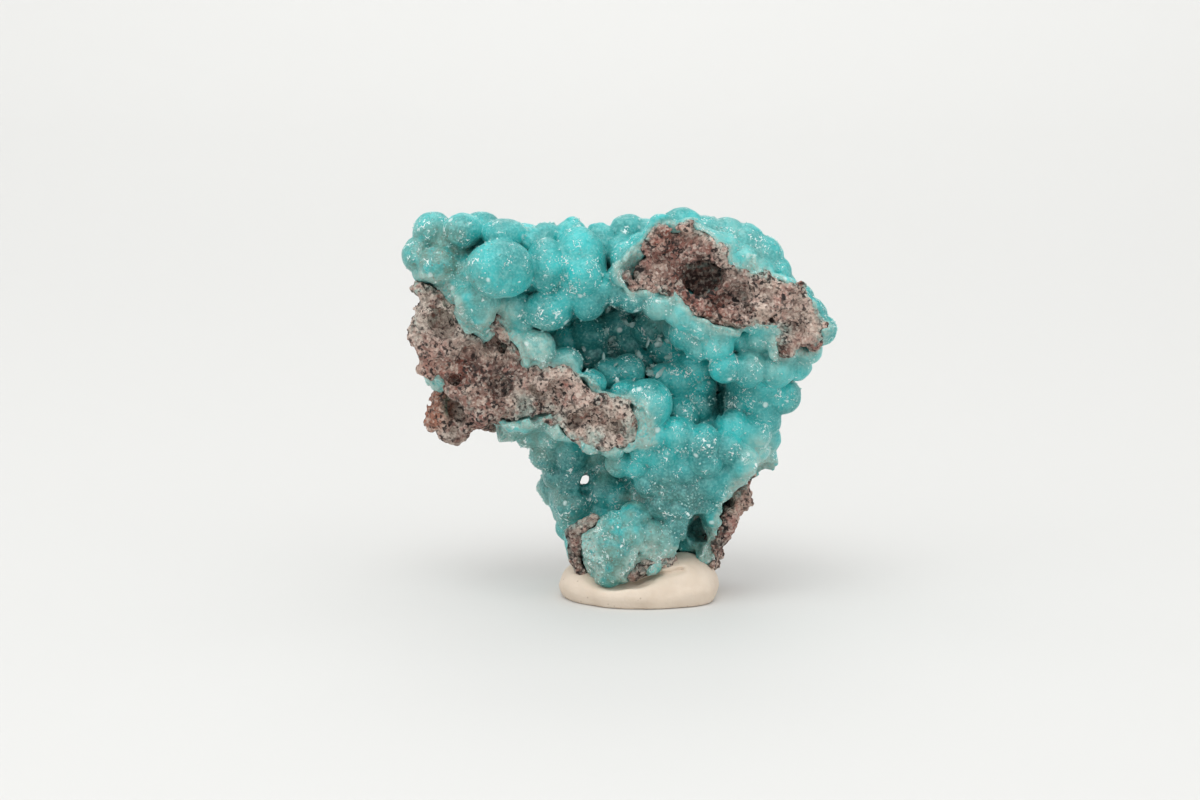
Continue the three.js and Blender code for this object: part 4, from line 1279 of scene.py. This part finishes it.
@dataclass(frozen=True)
class LimoniteRock(Finish):
    """Limonite-stained rock, broken across and weathered.

    The break shows fine crumbly grains, dusty pink and buff on their tops, with painted shade in the
    gaps between them and in its hollows, stains of red iron oxide and specks of black manganese.
    """

    name: str = "limonite-stained rock broken and weathered"
    base: str = "#b1857a"
    buff: str = "#cdb4a5"
    brown: str = "#6b463b"
    red: str = "#8e4433"
    hollow_brown: str = "#3e2a24"
    black: str = "#1d1615"
    dust: str = "#d9cbbe"
    moss_grey: str = "#55604f"
    pale: str = "#9db4ab"
    orange: str = "#a8735e"
    grain: float = 0.32  # mm, coarser than the finest grit, which is too fine to show
    patch: float = 4.0  # mm between patches of pink and buff

    def layers(self) -> list[Layer]:
        """Lists the colours over its pink: patches, stains, grains, and painted shade between them and
        in its hollows.

        Returns:
            The layers, in the order that they are laid.
        """
        mark, clouds, grains = Source.MARK, Source.CLOUDS, Source.GRAINS
        fringe = Pattern(clouds, 0.8, ((0.42, 0.58, 1.0),), detail=4, shift=5)
        mottle = Pattern(clouds, 1.2, ((0.3, 0.6, 1.0),), detail=4, shift=8)
        grain_gap_shade = Pattern(clouds, 0.45, ((0.52, 0.4, 1.0),), detail=5, shift=3)
        broken = Pattern(clouds, 1.6, ((0.3, 0.6, 0.95),), detail=3, shift=6)
        spots = Pattern(clouds, 0.9, ((0.56, 0.64, 1.0),), detail=3, shift=4)
        stains = {"ash": self.dust, "verdigris": self.pale, "oxide": self.red, "hollow_brown": self.hollow_brown}
        return [
            Layer(self.buff, [Pattern(clouds, self.patch, ((0.38, 0.62, 1.0),), detail=4)]),
            Layer(self.brown, [Pattern(clouds, 2.6, ((0.5, 0.64, 0.8),), detail=4, shift=1)]),
            Layer(self.red, [Pattern(clouds, 1.5, ((0.56, 0.68, 0.75),), detail=5, shift=2)]),
            Layer(self.pale, [Pattern(mark, "fringe"), fringe]),
            *[Layer(shade, [Pattern(mark, tint), mottle]) for tint, shade in stains.items()],
            Layer(self.orange, [Pattern(mark, "rust")]),
            Layer(self.moss_grey, [Pattern(mark, "core")]),
            Layer(self.dust, [Pattern(grains, self.grain, ((0.5, 0.85, 0.5),), reading="Red")]),
            Layer(self.brown, [Pattern(grains, self.grain, ((0.6, 0.85, 0.4),), reading="Green")]),
            # Near black in the low places of the fine bumps: painted shade between the grains.
            Layer(self.black, [grain_gap_shade, broken]),
            Layer(self.black, [spots, Pattern(clouds, self.patch, ((0.6, 0.4, 1.0),), detail=4)]),
            # Near black where the rock is shut in over a millimetre: painted shade in its crevices.
            Layer(self.black, [Pattern(mark, "crevice_shade", ((0.44, 0.26, 0.85),))]),
            # Near black where the rock is shut in over a few millimetres: painted shade in its hollows.
            Layer(self.black, [Pattern(mark, "openness", ((0.5, 0.22, 1.0),))]),
        ]

    def bumps(self) -> list[tuple[Pattern, float]]:
        """Lists the bumps of the break.

        Returns:
            Each pattern with its height in mm.
        """
        return [
            (Pattern(Source.CLOUDS, 0.8, detail=4), 0.3),
            (Pattern(Source.GRAINS, self.grain, reading="Distance"), 0.18),
            (Pattern(Source.CLOUDS, 0.45, detail=5, shift=3), 0.3),
        ]

    def shader(self) -> dict[str, object]:
        """The settings of a dry, dusty surface."""
        return {"Roughness": 0.85, "IOR": 1.55}


@dataclass(frozen=True)
class PressedPutty(Finish):
    """Mineral display putty, pinched and pressed flat by hand: matte, waxy and faintly soiled."""

    name: str = "display putty pressed by hand"
    base: str = "#dbccbb"
    shade: str = "#cab8a4"
    speck: str = "#b3a08d"

    def layers(self) -> list[Layer]:
        """Lists the shades of handling and the specks of dirt over its cream.

        Returns:
            The layers, in the order that they are laid.
        """
        specks = Pattern(Source.GRAINS, 0.9, ((0.16, 0.08, 0.8),), reading="Distance")
        return [
            Layer(self.shade, [Pattern(Source.CLOUDS, 4.0, ((0.35, 0.7, 0.6),), detail=3)]),
            Layer(self.speck, [specks, Pattern(Source.CLOUDS, 2.4, ((0.45, 0.55, 1.0),))]),
        ]

    def bumps(self) -> list[tuple[Pattern, float]]:
        """The broad and the fine unevenness of its skin."""
        return [(Pattern(Source.CLOUDS, 2.2), 0.14), (Pattern(Source.CLOUDS, 0.4), 0.05)]

    def shader(self) -> dict[str, object]:
        """Sets a matte, waxy surface that light goes a little way into.

        Returns:
            The shader's settings.
        """
        return {
            "Roughness": 0.62,
            "IOR": 1.45,
            "Subsurface Weight": 0.15,
            "Subsurface Radius": (1.0, 0.8, 0.6),
            "Subsurface Scale": 0.5 * MM,
        }


@dataclass(frozen=True)
class CrystalFinish(Finish):
    """Hemimorphite grown as blades, clear to milky, with flat faces that catch the light."""

    name: str = "hemimorphite grown as milky drusy crystals"
    base: str = "#d3efeb"
    cool: str = "#a4d8d3"
    clearness: float = 0.15
    roughness: float = 0.18

    def layers(self) -> list[Layer]:
        """The cooler colour of some crystals."""
        return [Layer(self.cool, [Pattern(Source.CLOUDS, 1.5, ((0.3, 0.7, 1.0),))])]

    def shader(self) -> dict[str, object]:
        """The settings of glassy faces."""
        return {"Roughness": self.roughness, "IOR": 1.62, "Transmission Weight": self.clearness}


@dataclass(frozen=True)
class BackdropPaper(Finish):
    """Seamless backdrop paper, matte and near white."""

    name: str = "backdrop paper"
    base: str = "#d2d2d0"

    def shader(self) -> dict[str, object]:
        """The settings of uncoated paper."""
        return {"Roughness": 0.7, "Specular IOR Level": 0.2}


def make_object(
    name: str,
    corners: Array,
    faces: Array,
    marks: dict[str, Array],
    material: bpy.types.Material,
) -> bpy.types.Object:
    """Makes a smooth-shaded object.

    Args:
        name: The object's name.
        corners: Its corners, in mm.
        faces: Its faces, as rows of corner numbers.
        marks: For each named mark, its value at every corner.
        material: Its finish.

    Returns:
        The object, linked to the scene.
    """
    mesh = bpy.data.meshes.new(name)
    sides = faces.shape[1]
    mesh.vertices.add(len(corners))
    mesh.vertices.foreach_set("co", (corners * MM).astype(np.float32).ravel())
    mesh.loops.add(faces.size)
    mesh.loops.foreach_set("vertex_index", faces.astype(np.int32).ravel())
    mesh.polygons.add(len(faces))
    mesh.polygons.foreach_set("loop_start", np.arange(0, faces.size, sides, dtype=np.int32))
    mesh.update(calc_edges=True)
    mesh.validate()
    for mark, values in marks.items():
        kept = mesh.attributes.new(mark, "FLOAT", "POINT")
        kept.data.foreach_set("value", values.astype(np.float32))
    mesh.polygons.foreach_set("use_smooth", np.ones(len(mesh.polygons), bool))
    mesh.materials.append(material)
    made = bpy.data.objects.new(name, mesh)
    bpy.context.scene.collection.objects.link(made)
    return made


def thin_out(made: bpy.types.Object, most: int) -> None:
    """Merges the corners of an object that its shape needs least, until it has few enough triangles.

    Args:
        made: The object, whose marks are kept.
        most: The most triangles that it may have.
    """
    count = sum(len(face.vertices) - 2 for face in made.data.polygons)
    if count <= most:
        return
    made.modifiers.new("thin_out", "DECIMATE").ratio = most / count
    graph = bpy.context.evaluated_depsgraph_get()
    thinned = bpy.data.meshes.new_from_object(
        made.evaluated_get(graph), preserve_all_data_layers=True, depsgraph=graph
    )
    made.modifiers.clear()
    full, made.data = made.data, thinned
    bpy.data.meshes.remove(full)
    log.info("%s: thinned from %d triangles to %d", made.name, count, len(thinned.polygons))


def largest_shells(corners: Array, faces: Array, least: int) -> tuple[Array, Array]:
    """Drops the loose shells that have fewer faces than least.

    Args:
        corners: A mesh's corners.
        faces: Its four-sided faces, as rows of corner numbers.
        least: The fewest faces that a kept shell has.

    Returns:
        The corners and faces that are left, numbered anew.
    """
    shell = np.arange(len(corners))
    starts, ends = faces[:, [0, 1, 2]].ravel(), faces[:, [1, 2, 3]].ravel()
    settled = False
    while not settled:
        lowest = np.minimum(shell[starts], shell[ends])
        before = shell.copy()
        np.minimum.at(shell, starts, lowest)
        np.minimum.at(shell, ends, lowest)
        shell = shell[shell]
        settled = bool((shell == before).all())
    size = np.bincount(shell[faces[:, 0]], minlength=len(corners))
    faces = faces[size[shell[faces[:, 0]]] >= least]
    used = np.unique(faces)
    number = np.full(len(corners), -1)
    number[used] = np.arange(len(used))
    return corners[used], number[faces]


@dataclass
class RockMatrix:
    """The rock that the crust grew on."""

    form: Form
    finish: LimoniteRock = field(default_factory=LimoniteRock)
    least_faces: int = 4000
    grain: float = 0.6  # mm
    grain_height: float = 0.26
    grain_unevenness: float = 0.8  # how much higher some grains stand than others
    grain_seed: int = 51
    grit: float = 0.3  # mm
    grit_height: float = 0.12
    grit_seed: int = 52
    grain_rim: tuple[float, float] = (1.2, 0.6)  # mm beside bare rock where grains begin
    open_reach: float = 1.6  # mm that its hollows are judged over
    crevice_shade_reach: float = 0.8
    core_middle: Place = (-22.0, 24.4, -1.6)
    core_radius: float = 1.8
    rust_middle: Place = (-25.0, 24.0, 0.0)
    rust_radius: float = 2.6
    tints: dict[str, list[Patch]] = field(default_factory=lambda: ROCK_TINTS)

    def build(self) -> bpy.types.Object:
        """Makes the rock's mesh with its marks and finish.

        Returns:
            The rock.
        """
        grid = self.form.grid
        corners, faces = largest_shells(*grid.skin(self.form.rock), self.least_faces)
        outward = self.form.slope(self.form.rock, corners)
        away, number = cell_noise(corners, self.grain, self.grain_seed)
        fine, _ = cell_noise(corners, self.grit, self.grit_seed)
        bare = grid.sample(self.form.bare, corners)
        height = self.grain_height * (0.55 - away + self.grain_unevenness * (number - 0.5))
        height += self.grit_height * (0.5 - fine)
        height *= smooth_step(*self.grain_rim, bare)
        openness = self.form.openness(corners, outward, self.open_reach)
        marks = {
            # painted shade in hollows, judged over a few millimetres
            "openness": openness,
            # painted shade in crevices
            "crevice_shade": self.form.openness(corners, outward, self.crevice_shade_reach),
            "fringe": smooth_step(-0.9, 0.1, bare) * smooth_step(0.3, 0.5, openness),
            "core": self._ball(corners, self.core_middle, self.core_radius),
            "rust": self._ball(corners, self.rust_middle, self.rust_radius),
        }
        for tint, patches in self.tints.items():
            marks[tint] = self.form.tinted(corners, patches)
        raised = corners + outward * height[:, None]
        made = make_object("rock_matrix", raised, faces, marks, self.finish.make())
        thin_out(made, MOST_TRIANGLES)
        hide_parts("matrix")
        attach(made, "root")
        return made

    def _ball(self, corners: Array, middle: Place, radius: float) -> Array:
        """How far some corners are inside a soft-edged ball, from 0 to 1."""
        distance = np.linalg.norm(corners - place(*middle), axis=1)
        return smooth_step(radius * 1.3, radius * 0.7, distance)


@dataclass
class HemimorphiteCrust:
    """The blue crust over the rock."""

    form: Form
    finish: BotryoidalHemimorphite = field(default_factory=BotryoidalHemimorphite)
    least_faces: int = 1200
    skin_grain: float = 0.5  # mm
    skin_height: float = 0.035
    skin_seed: int = 61
    rim_width: float = 1.6  # mm of paler crust beside a bare face
    crease_shade_reach: float = 1.0  # mm that creases are judged over
    lit_reach: float = 2.0
    cavity_shade_reach: float = 5.0
    tints: dict[str, list[Patch]] = field(default_factory=lambda: TINTS)

    def build(self) -> bpy.types.Object:
        """Makes the crust's mesh with its marks and finish.

        Returns:
            The crust.
        """
        grid = self.form.grid
        corners, faces = largest_shells(*grid.skin(self.form.crust), self.least_faces)
        outward = self.form.slope(self.form.crust, corners)
        away, _ = cell_noise(corners, self.skin_grain, self.skin_seed)
        height = self.skin_height * (0.5 - away)
        bare = grid.sample(self.form.bare, corners)
        lit = self.form.openness(corners, outward, self.lit_reach)
        marks = {
            # painted shade in the creases between lumps, judged over a millimetre
            "crease": self.form.openness(corners, outward, self.crease_shade_reach),
            # painted shade: how shut in each corner is, judged over a few millimetres
            "cavity_shade": self.form.openness(corners, outward, self.cavity_shade_reach),
            "rim": smooth_step(self.rim_width, 0.1, bare),
            # where the crust is open, which the painted glints keep to
            "lit": smooth_step(0.3, 0.6, lit),
        }
        for tint, patches in self.tints.items():
            marks[tint] = self.form.tinted(corners, patches)
        raised = corners + outward * height[:, None]
        made = make_object("botryoidal_crust", raised, faces, marks, self.finish.make())
        thin_out(made, MOST_TRIANGLES)
        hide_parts("hemimorphite_crust")
        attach(made, "root")
        return made


@dataclass
class DisplayPutty:
    """The pad of putty that the specimen stands in, with a ridge drawn up behind its front edge."""

    finish: PressedPutty = field(default_factory=PressedPutty)
    step: float = 0.25
    low: Place = (-11.0, -9.6, -0.8)
    high: Place = (11.0, 9.6, 6.6)
    pad_half: tuple[float, float] = (PUTTY_WIDTH / 2 + 0.2, PUTTY_DEPTH / 2 + 0.1)
    ridge_middle: tuple[float, float] = (4.6, -1.6)
    ridge_half: tuple[float, float] = (5.2, 5.4)
    ridge_blend: float = 1.2
    bed_middle: Place = (-2.6, 5.6, -6.4)  # of the dent that the left foot stands in
    bed_half: Place = (5.4, 3.0, 3.4)
    bed_blend: float = 0.8
    dome: float = 0.5  # the share of a pat's height that falls away towards its edge
    edge_blend: float = 1.4
    bulge: float = 0.13  # how fast a pat's side draws in above and below its widest
    bulge_height: float = 0.45  # of its widest, as a share of its top
    unevenness: Ripples = (Ripple(0.16, 3.4, 71), Ripple(0.05, 1.2, 72))
    fold: tuple[tuple[float, float], ...] = ((-0.4, 3.2), (1.6, 4.0), (3.4, 4.3), (5.2, 4.7))
    fold_depth: float = 0.6
    fold_width: float = 0.32

    def build(self) -> bpy.types.Object:
        """Makes the pad's mesh and finish.

        Returns:
            The pad.
        """
        grid = Grid(np.array(self.low), np.array(self.high), self.step)
        pad = self._pat(grid, (0.0, 0.0), self.pad_half, PUTTY_THICKNESS)
        ridge = self._pat(grid, self.ridge_middle, self.ridge_half, PUTTY_RIDGE_TOP)
        made = smooth_min(pad, ridge, self.ridge_blend)
        bed = grid.ellipsoid(place(*self.bed_middle), np.array(self.bed_half), (slice(None),) * 3)
        made = smooth_max(made, -bed, self.bed_blend)
        made += grid.ripples(self.unevenness)
        crease = grid.creases(self.fold)
        made += self.fold_depth * np.exp(-((crease / self.fold_width) ** 2)) * (grid.y < 0)
        made = np.maximum(made, -grid.z)
        corners, faces = grid.skin(made)
        made = make_object("putty_pad", corners, faces, {}, self.finish.make())
        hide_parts("putty")
        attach(made, "root")
        return made

    def _pat(
        self, grid: Grid, middle: tuple[float, float], half: tuple[float, float], top: float
    ) -> Array:
        """Makes a rounded pat of putty on the floor.

        Args:
            grid: The grid to make it on.
            middle: Its middle, from above.
            half: Its half width and half depth.
            top: Its height.

        Returns:
            The pat as a field.
        """
        ratio = np.hypot((grid.x - middle[0]) / half[0], (grid.y - middle[1]) / half[1])
        height = top * (1 - self.dome + self.dome * np.sqrt(np.clip(1 - ratio**2, 0, 1)))
        side = (ratio - 1) * min(half) + self.bulge * (grid.z - top * self.bulge_height) ** 2
        return smooth_max(grid.z - height, side, self.edge_blend)


@dataclass
class CrystalSet:
    """Small blades of hemimorphite that stand on the crust."""

    form: Form
    name: str
    finish: CrystalFinish
    count: int
    length: tuple[float, float]  # mm
    seed: int
    slimness: float = 0.9
    widths: tuple[float, float] = (0.7, 1.2)  # of the narrowest and the widest, in even widths
    flatness: float = 0.6  # how thick a blade is, in widths
    sides: int = 5
    tip: float = 0.3  # where along a crystal its point begins
    tip_width: float = 0.9  # its width there, in widths of its foot
    top: float = 0.6
    root: float = 0.5
    lean: float = 0.35
    cluster_gap: float = 3.2  # mm between the middles of clusters
    cluster_radius: float = 0.6  # in gaps
    cluster_share: float = 0.45  # of the clusters that stay empty
    stray: float = 0.004  # the chance of a crystal between the clusters
    rim_gap: float = 0.2  # mm that stays clear beside a bare face
    middle: Place | None = None  # of the hollow that the set lines, or the whole crust
    reach: float = 0.0

    def build(self, crust: bpy.types.Object) -> bpy.types.Object:
        """Grows the crystals.

        Args:
            crust: The piece whose mesh they stand on.

        Returns:
            The crystals as one object.
        """
        random = np.random.default_rng(self.seed)
        points = np.empty(len(crust.data.vertices) * 3, np.float32)
        crust.data.vertices.foreach_get("co", points)
        points = points.reshape(-1, 3) / MM
        chance = self._chance(points)
        feet = points[random.choice(len(points), self.count, replace=False, p=chance / chance.sum())]
        up = self.form.slope(self.form.crust, feet)
        up += self.lean * random.standard_normal((self.count, 3))
        up /= np.linalg.norm(up, axis=1, keepdims=True)
        side = np.cross(up, random.standard_normal((self.count, 3)))
        side /= np.linalg.norm(side, axis=1, keepdims=True)
        other = np.cross(up, side)
        low, high = self.length
        length = random.triangular(low, low, high, self.count)[:, None]
        width = length * self.slimness * random.uniform(*self.widths, (self.count, 1)) / 2
        rings = []
        for share, grow in ((-self.root, 1.0), (self.tip, self.tip_width)):
            for turn in np.arange(self.sides) * 2 * math.pi / self.sides:
                across = side * math.cos(turn) + self.flatness * other * math.sin(turn)
                rings.append(feet + up * length * share + width * grow * across)
        ends = [feet + up * length * self.top, feet - up * length * self.root]
        corners = np.stack([*rings, *ends], 1)
        firsts = corners.shape[1] * np.arange(self.count)
        every = (self._faces()[None] + firsts[:, None, None]).reshape(-1, 3)
        made = make_object(self.name, corners.reshape(-1, 3), every, {}, self.finish.make())
        made.data.polygons.foreach_set("use_smooth", np.zeros(len(made.data.polygons), bool))
        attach(made, "root")
        return made

    def _chance(self, points: Array) -> Array:
        """Judges how likely a crystal is to stand at each point.

        Args:
            points: Places on the crust, in mm.

        Returns:
            The chance at each of them, which needn't add up to 1.
        """
        away, number = cell_noise(points, self.cluster_gap, self.seed)
        near = np.clip(self.cluster_radius - away, 0, None) ** 2
        chance = near * (number > self.cluster_share) + self.stray
        if self.middle:
            distance = np.linalg.norm(points - place(*self.middle), axis=1)
            chance *= smooth_step(self.reach, self.reach * 0.8, distance)
        return chance * (self.form.grid.sample(self.form.bare, points) > self.rim_gap)

    def _faces(self) -> Array:
        """Lists one crystal's triangles: its sides, its point and its foot.

        Returns:
            The triangles, as rows of corner numbers.
        """
        n = self.sides
        faces = []
        for i in range(n):
            j = (i + 1) % n
            faces += [(i, j, n + j), (i, n + j, n + i)]
            faces += [(n + i, n + j, 2 * n), (j, i, 2 * n + 1)]
        return np.array(faces)


@dataclass(frozen=True)
class Softbox:
    """A square light that faces a place."""

    name: str
    at: Place  # metres
    towards: Place
    size: float  # metres along a side
    power: float  # watts

    def hang(self) -> None:
        """Adds the light to the scene."""
        lamp = bpy.data.lights.new(self.name, "AREA")
        lamp.size = self.size
        lamp.energy = self.power
        made = bpy.data.objects.new(self.name, lamp)
        bpy.context.scene.collection.objects.link(made)
        made.location = self.at
        way = Vector(self.at) - Vector(self.towards)
        made.rotation_euler = way.to_track_quat("Z", "Y").to_euler()


AIM = (-0.00476, -0.005, 0.02492)  # what the camera and the lights over the specimen point at

SOFTBOXES = (
    Softbox("softbox_above", (-0.08, -0.22, 0.55), AIM, 0.3, 0.85),
    Softbox("softbox_left", (-0.6, -0.35, 0.35), AIM, 0.4, 0.3),
    Softbox("softbox_right", (0.6, -0.4, 0.3), AIM, 0.4, 0.2),
    Softbox("softbox_backdrop", (0.0, 0.75, 0.6), (0.0, 0.75, 0.0), 0.5, 1.25),
)


@dataclass
class Studio:
    """The backdrop, the lights and the camera. Its sizes are in metres."""

    finish: BackdropPaper = field(default_factory=BackdropPaper)
    softboxes: tuple[Softbox, ...] = SOFTBOXES
    lens: float = 100.0  # mm
    sensor: float = 36.0  # mm
    nearest: float = 0.01
    frame_width: float = 0.1429  # across the frame at the aim
    sweep_front: float = -1.2
    sweep_back: float = 0.6
    sweep_radius: float = 0.5
    sweep_steps: int = 24
    sweep_width: float = 3.0
    sweep_height: float = 1.6
    air: str = "#ffffff"
    sky_low: float = 0.92  # brightness of the studio's walls
    sky_high: float = 1.3  # brightness of its ceiling

    def build(self) -> None:
        """Makes everything that isn't the specimen."""
        self._backdrop()
        self._camera()
        for softbox in self.softboxes:
            softbox.hang()
        self._air()
        bpy.context.scene.view_settings.view_transform = "Standard"

    def _air(self) -> None:
        """Fills the studio with soft light, brighter from above."""
        world = bpy.data.worlds.new("studio_air")
        bpy.context.scene.world = world
        world.use_nodes = True
        tree = world.node_tree
        tree.nodes.clear()
        way = add_node(tree, "ShaderNodeTexCoord", {}).outputs["Generated"]
        height = add_node(tree, "ShaderNodeSeparateXYZ", {"Vector": way}).outputs["Z"]
        run = {"To Min": self.sky_low, "To Max": self.sky_high, "Value": height}
        strength = add_node(tree, "ShaderNodeMapRange", run).outputs["Result"]
        glow = {"Color": linear(self.air), "Strength": strength}
        light = add_node(tree, "ShaderNodeBackground", glow).outputs["Background"]
        add_node(tree, "ShaderNodeOutputWorld", {"Surface": light})

    def _backdrop(self) -> None:
        """Lays one sheet of paper that runs flat under the specimen and curves up behind it."""
        profile = [(self.sweep_front, 0.0)]
        for i in range(self.sweep_steps + 1):
            turn = math.pi / 2 * i / self.sweep_steps
            across = self.sweep_back + self.sweep_radius * math.sin(turn)
            profile.append((across, self.sweep_radius * (1 - math.cos(turn))))
        profile.append((self.sweep_back + self.sweep_radius, self.sweep_height))
        half = self.sweep_width / 2
        corners = np.array([(x, y, z) for y, z in profile for x in (-half, half)]) / MM
        rows = range(len(profile) - 1)
        faces = np.array([(2 * i, 2 * i + 1, 2 * i + 3, 2 * i + 2) for i in rows])
        make_object("backdrop", corners, faces, {}, self.finish.make())

    def _camera(self) -> None:
        """Points the camera at the specimen's front, looking a little down."""
        camera = bpy.data.objects.new("camera", bpy.data.cameras.new("camera"))
        bpy.context.scene.collection.objects.link(camera)
        bpy.context.scene.camera = camera
        camera.data.lens = self.lens
        camera.data.sensor_width = self.sensor
        camera.data.clip_start = self.nearest
        distance = self.frame_width * self.lens / self.sensor
        way = Vector((0, -math.cos(SIGHT), math.sin(SIGHT)))
        camera.location = Vector(AIM) + distance * way
        camera.rotation_euler = way.to_track_quat("Z", "Y").to_euler()


def main() -> None:
    """Builds the specimen and its studio."""
    logging.basicConfig(level=logging.INFO, format="%(message)s", force=True)
    Studio().build()
    boxes = np.array([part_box(node) for node in ("matrix", "hemimorphite_crust", "putty")]) / MM
    low, high = boxes[:, 0].min(0), boxes[:, 1].max(0)
    form = Form(Grid(low - GRID_MARGIN, high + GRID_MARGIN, GRID_STEP))
    form.grow()
    crust = HemimorphiteCrust(form).build()
    druse = CrystalSet(
        form, "drusy_crystals", CrystalFinish(), count=2600, length=(0.2, 0.42), seed=81
    )
    clear = CrystalFinish("hemimorphite grown as clear blades", "#d8f0ed", "#aed8d2", 0.35, 0.08)
    blades = CrystalSet(
        form, "pocket_blades", clear, count=60, length=(1.2, 2.4), seed=84,
        slimness=0.5, lean=0.4, top=0.55, cluster_share=0.0, middle=(-1.6, 30.6, 1.6), reach=7.0,
    )
    made = [crust, RockMatrix(form).build(), DisplayPutty().build()]
    made += [druse.build(crust), blades.build(crust)]
    for piece in made:
        log.info("%s: %d faces", piece.name, len(piece.data.polygons))


if __name__ == "__main__":
    main()
